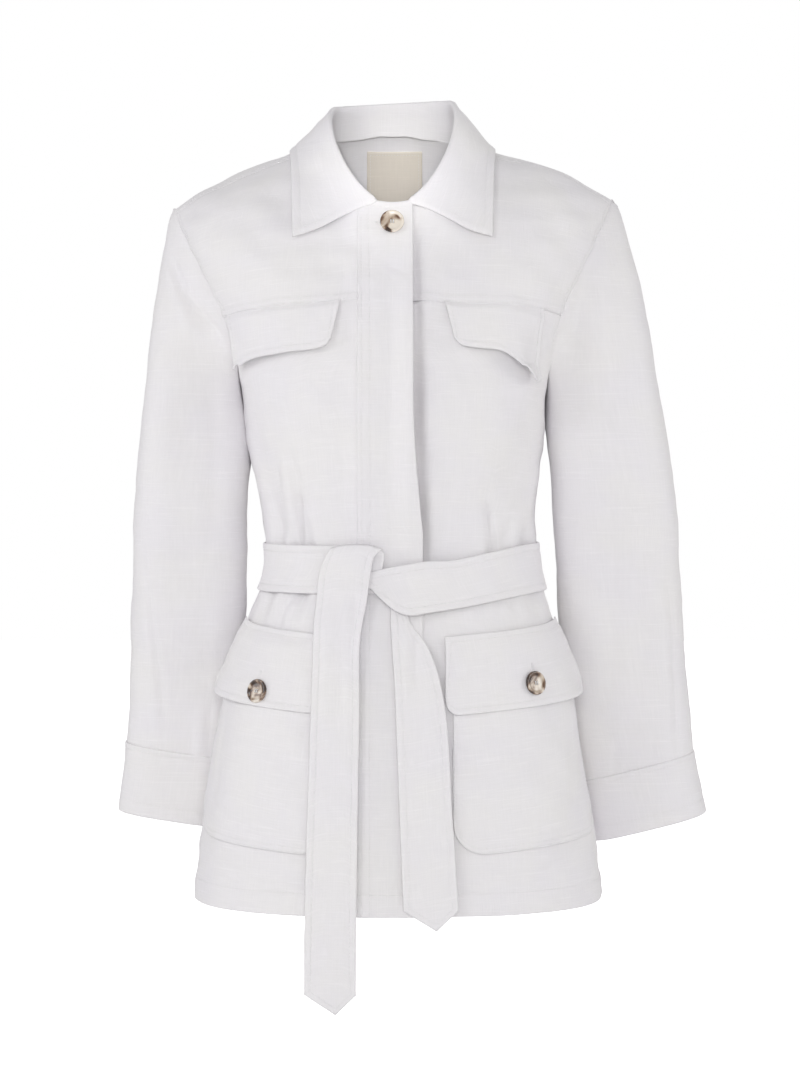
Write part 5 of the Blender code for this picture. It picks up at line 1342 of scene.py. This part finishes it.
def makeStitchTree():  # a run of separate stitches along each line of edges
    tree = bpy.data.node_groups.new("stitchRun", "GeometryNodeTree")
    for name, kind, value in (("Geometry", "NodeSocketGeometry", None), ("Pitch", "NodeSocketFloat", 0.0033),
                              ("Stitch Length", "NodeSocketFloat", 0.0026),
                              ("Thickness", "NodeSocketFloat", 0.0006),
                              ("Unevenness", "NodeSocketFloat", 0.15), ("Seed", "NodeSocketInt", 5),
                              ("Material", "NodeSocketMaterial", None)):
        socket = tree.interface.new_socket(name, in_out="INPUT", socket_type=kind)
        if value is not None:
            socket.default_value = value
    tree.interface.new_socket("Geometry", in_out="OUTPUT", socket_type="NodeSocketGeometry")
    source = tree.nodes.new("NodeGroupInput").outputs
    curve = addNode(tree, "GeometryNodeMeshToCurve", {"Mesh": source["Geometry"]}).outputs["Curve"]
    spaced = addNode(tree, "GeometryNodeResampleCurve", {}, mode="LENGTH")
    fill(tree, spaced, {"Curve": curve, "Length": source["Pitch"]})
    tangent = tree.nodes.new("GeometryNodeInputTangent").outputs["Tangent"]
    align = addNode(tree, "FunctionNodeAlignRotationToVector", {"Vector": tangent}, axis="X")
    bead = addNode(tree, "GeometryNodeMeshIcoSphere", {"Radius": 0.5, "Subdivisions": 1})
    uneven = addNode(tree, "FunctionNodeRandomValue", {"Seed": source["Seed"]})
    limits = [socket for socket in uneven.inputs if socket.type == "VALUE" and socket.enabled]
    for socket, operation in zip(limits, ("SUBTRACT", "ADD")):
        tree.links.new(mathNode(tree, operation, 1.0, source["Unevenness"]), socket)
    share = next(socket for socket in uneven.outputs if socket.enabled)
    longer = mathNode(tree, "MULTIPLY", source["Stitch Length"], share)
    thick = source["Thickness"]
    size = addNode(tree, "ShaderNodeCombineXYZ", {"X": longer, "Y": thick, "Z": thick}).outputs["Vector"]
    beads = {"Points": spaced.outputs["Curve"], "Instance": bead.outputs["Mesh"],
             "Rotation": align.outputs["Rotation"], "Scale": size}
    stitches = addNode(tree, "GeometryNodeInstanceOnPoints", beads).outputs["Instances"]
    for kind in ("GeometryNodeRealizeInstances", "GeometryNodeSetShadeSmooth", "GeometryNodeSetMaterial"):
        node = addNode(tree, kind, {"Geometry": stitches})
        stitches = node.outputs["Geometry"]
    fill(tree, node, {"Material": source["Material"]})
    addNode(tree, "NodeGroupOutput", {"Geometry": stitches})
    return tree


stitchTree = makeStitchTree()
stitchLooks = dict(
    buttonThreads={"Pitch": 0.0006, "Stitch Length": 0.0011, "Thickness": 0.0006},
    buttonholes={"Pitch": 0.0009, "Stitch Length": 0.0010, "Thickness": 0.0008},
    labelStitches={"Pitch": 0.0030, "Stitch Length": 0.0024, "Thickness": 0.0004},
)


def makeStitches(name, lines, looks):
    points, edges = [], []
    for line in lines:
        edges += [(len(points) + i, len(points) + i + 1) for i in range(len(line) - 1)]
        points += line.tolist()
    mesh = bpy.data.meshes.new(f"{name}Lines")
    mesh.from_pydata(points, edges, [])
    source = show(f"{name}Lines", mesh)
    modifier = source.modifiers.new("stitchRun", "NODES")
    modifier.node_group = stitchTree
    for socket in stitchTree.interface.items_tree:
        if socket.in_out == "INPUT" and socket.name in looks:
            modifier[socket.identifier] = looks[socket.name]
        if socket.in_out == "INPUT" and socket.name == "Material":
            modifier[socket.identifier] = threadLinen
    bpy.context.view_layer.update()
    onRoot(name, bakedCopy(source, name))


for name, lines in stitchLines.items():
    makeStitches(name, lines, stitchLooks.get(name, {}))

print("floor and light")
floorMesh = bpy.data.meshes.new("floor")
floorHalf, floorZ = 9, -1.15
corners = [(x * floorHalf, y * floorHalf, floorZ) for x, y in ((-1, -1), (1, -1), (1, 1), (-1, 1))]
floorMesh.from_pydata(corners, [], [(0, 1, 2, 3)])
floor = show("floor", floorMesh)
looks = {"Base Color": (0.93, 0.93, 0.93, 1), "Roughness": 1.0, "Specular IOR Level": 0.0,
         "Emission Color": (1, 1, 1, 1)}
paleFloor, tree, shader = newMaterial("paleFloor", looks)
fill(tree, shader, {"Emission Strength": tree.nodes.new("ShaderNodeLightPath").outputs["Is Camera Ray"]})
floorMesh.materials.append(paleFloor)

world = bpy.data.worlds.new("studio")
world.use_nodes = True
bpy.context.scene.world = world
tree = world.node_tree
room = tree.nodes["Background"]
fill(tree, room, {"Color": (1.0, 0.995, 1.0, 1), "Strength": 0.46})
seen = addNode(tree, "ShaderNodeBackground", {"Color": (1, 1, 1, 1), "Strength": 1.0})
cameraRay = tree.nodes.new("ShaderNodeLightPath").outputs["Is Camera Ray"]
both = {"Fac": cameraRay, 1: room.outputs["Background"], 2: seen.outputs["Background"]}
both = addNode(tree, "ShaderNodeMixShader", both).outputs["Shader"]
fill(tree, tree.nodes["World Output"], {"Surface": both})


def addLight(data, place, aim):
    light = show(data.name, data)
    light.location = place
    light.rotation_euler = (Vector(aim) - Vector(place)).to_track_quat("-Z", "Y").to_euler()


def areaLight(name, place, aim, size, power, colour):
    data = bpy.data.lights.new(name, "AREA")
    data.shape, data.size, data.energy, data.color = "DISK", size, power, colour
    addLight(data, place, aim)


def spotLight(name, place, aim, size, angle, power):
    data = bpy.data.lights.new(name, "SPOT")
    data.shadow_soft_size, data.spot_size, data.spot_blend, data.energy = size, angle, 0.7, power
    addLight(data, place, aim)


areaLight("keyLight", (-1.9, -2.2, 1.2), (0, 0, -0.35), 1.1, 13, (0.985, 0.985, 1.0))
areaLight("frontLight", (0.05, -3.0, 0.12), (0, 0, -0.25), 1.0, 23, (1.0, 1.0, 1.0))
areaLight("leftLight", (-3.0, -0.5, 0.1), (0, 0, -0.4), 1.4, 13, (0.985, 0.985, 1.0))
areaLight("rightLight", (3.0, -0.5, 0.1), (0, 0, -0.4), 1.4, 16, (1.0, 0.995, 0.985))
spotLight("neckLight", (-0.05, -1.6, -0.12), (0.0, 0.06, -0.008), 0.06, math.radians(5.8), 45)
areaLight("backLight", (0.3, 2.8, 1.2), (0, 0, -0.3), 1.8, 26, (1.0, 1.0, 1.0))
bpy.context.scene.view_settings.view_transform = "Standard"
bpy.context.scene.view_settings.look = "None"
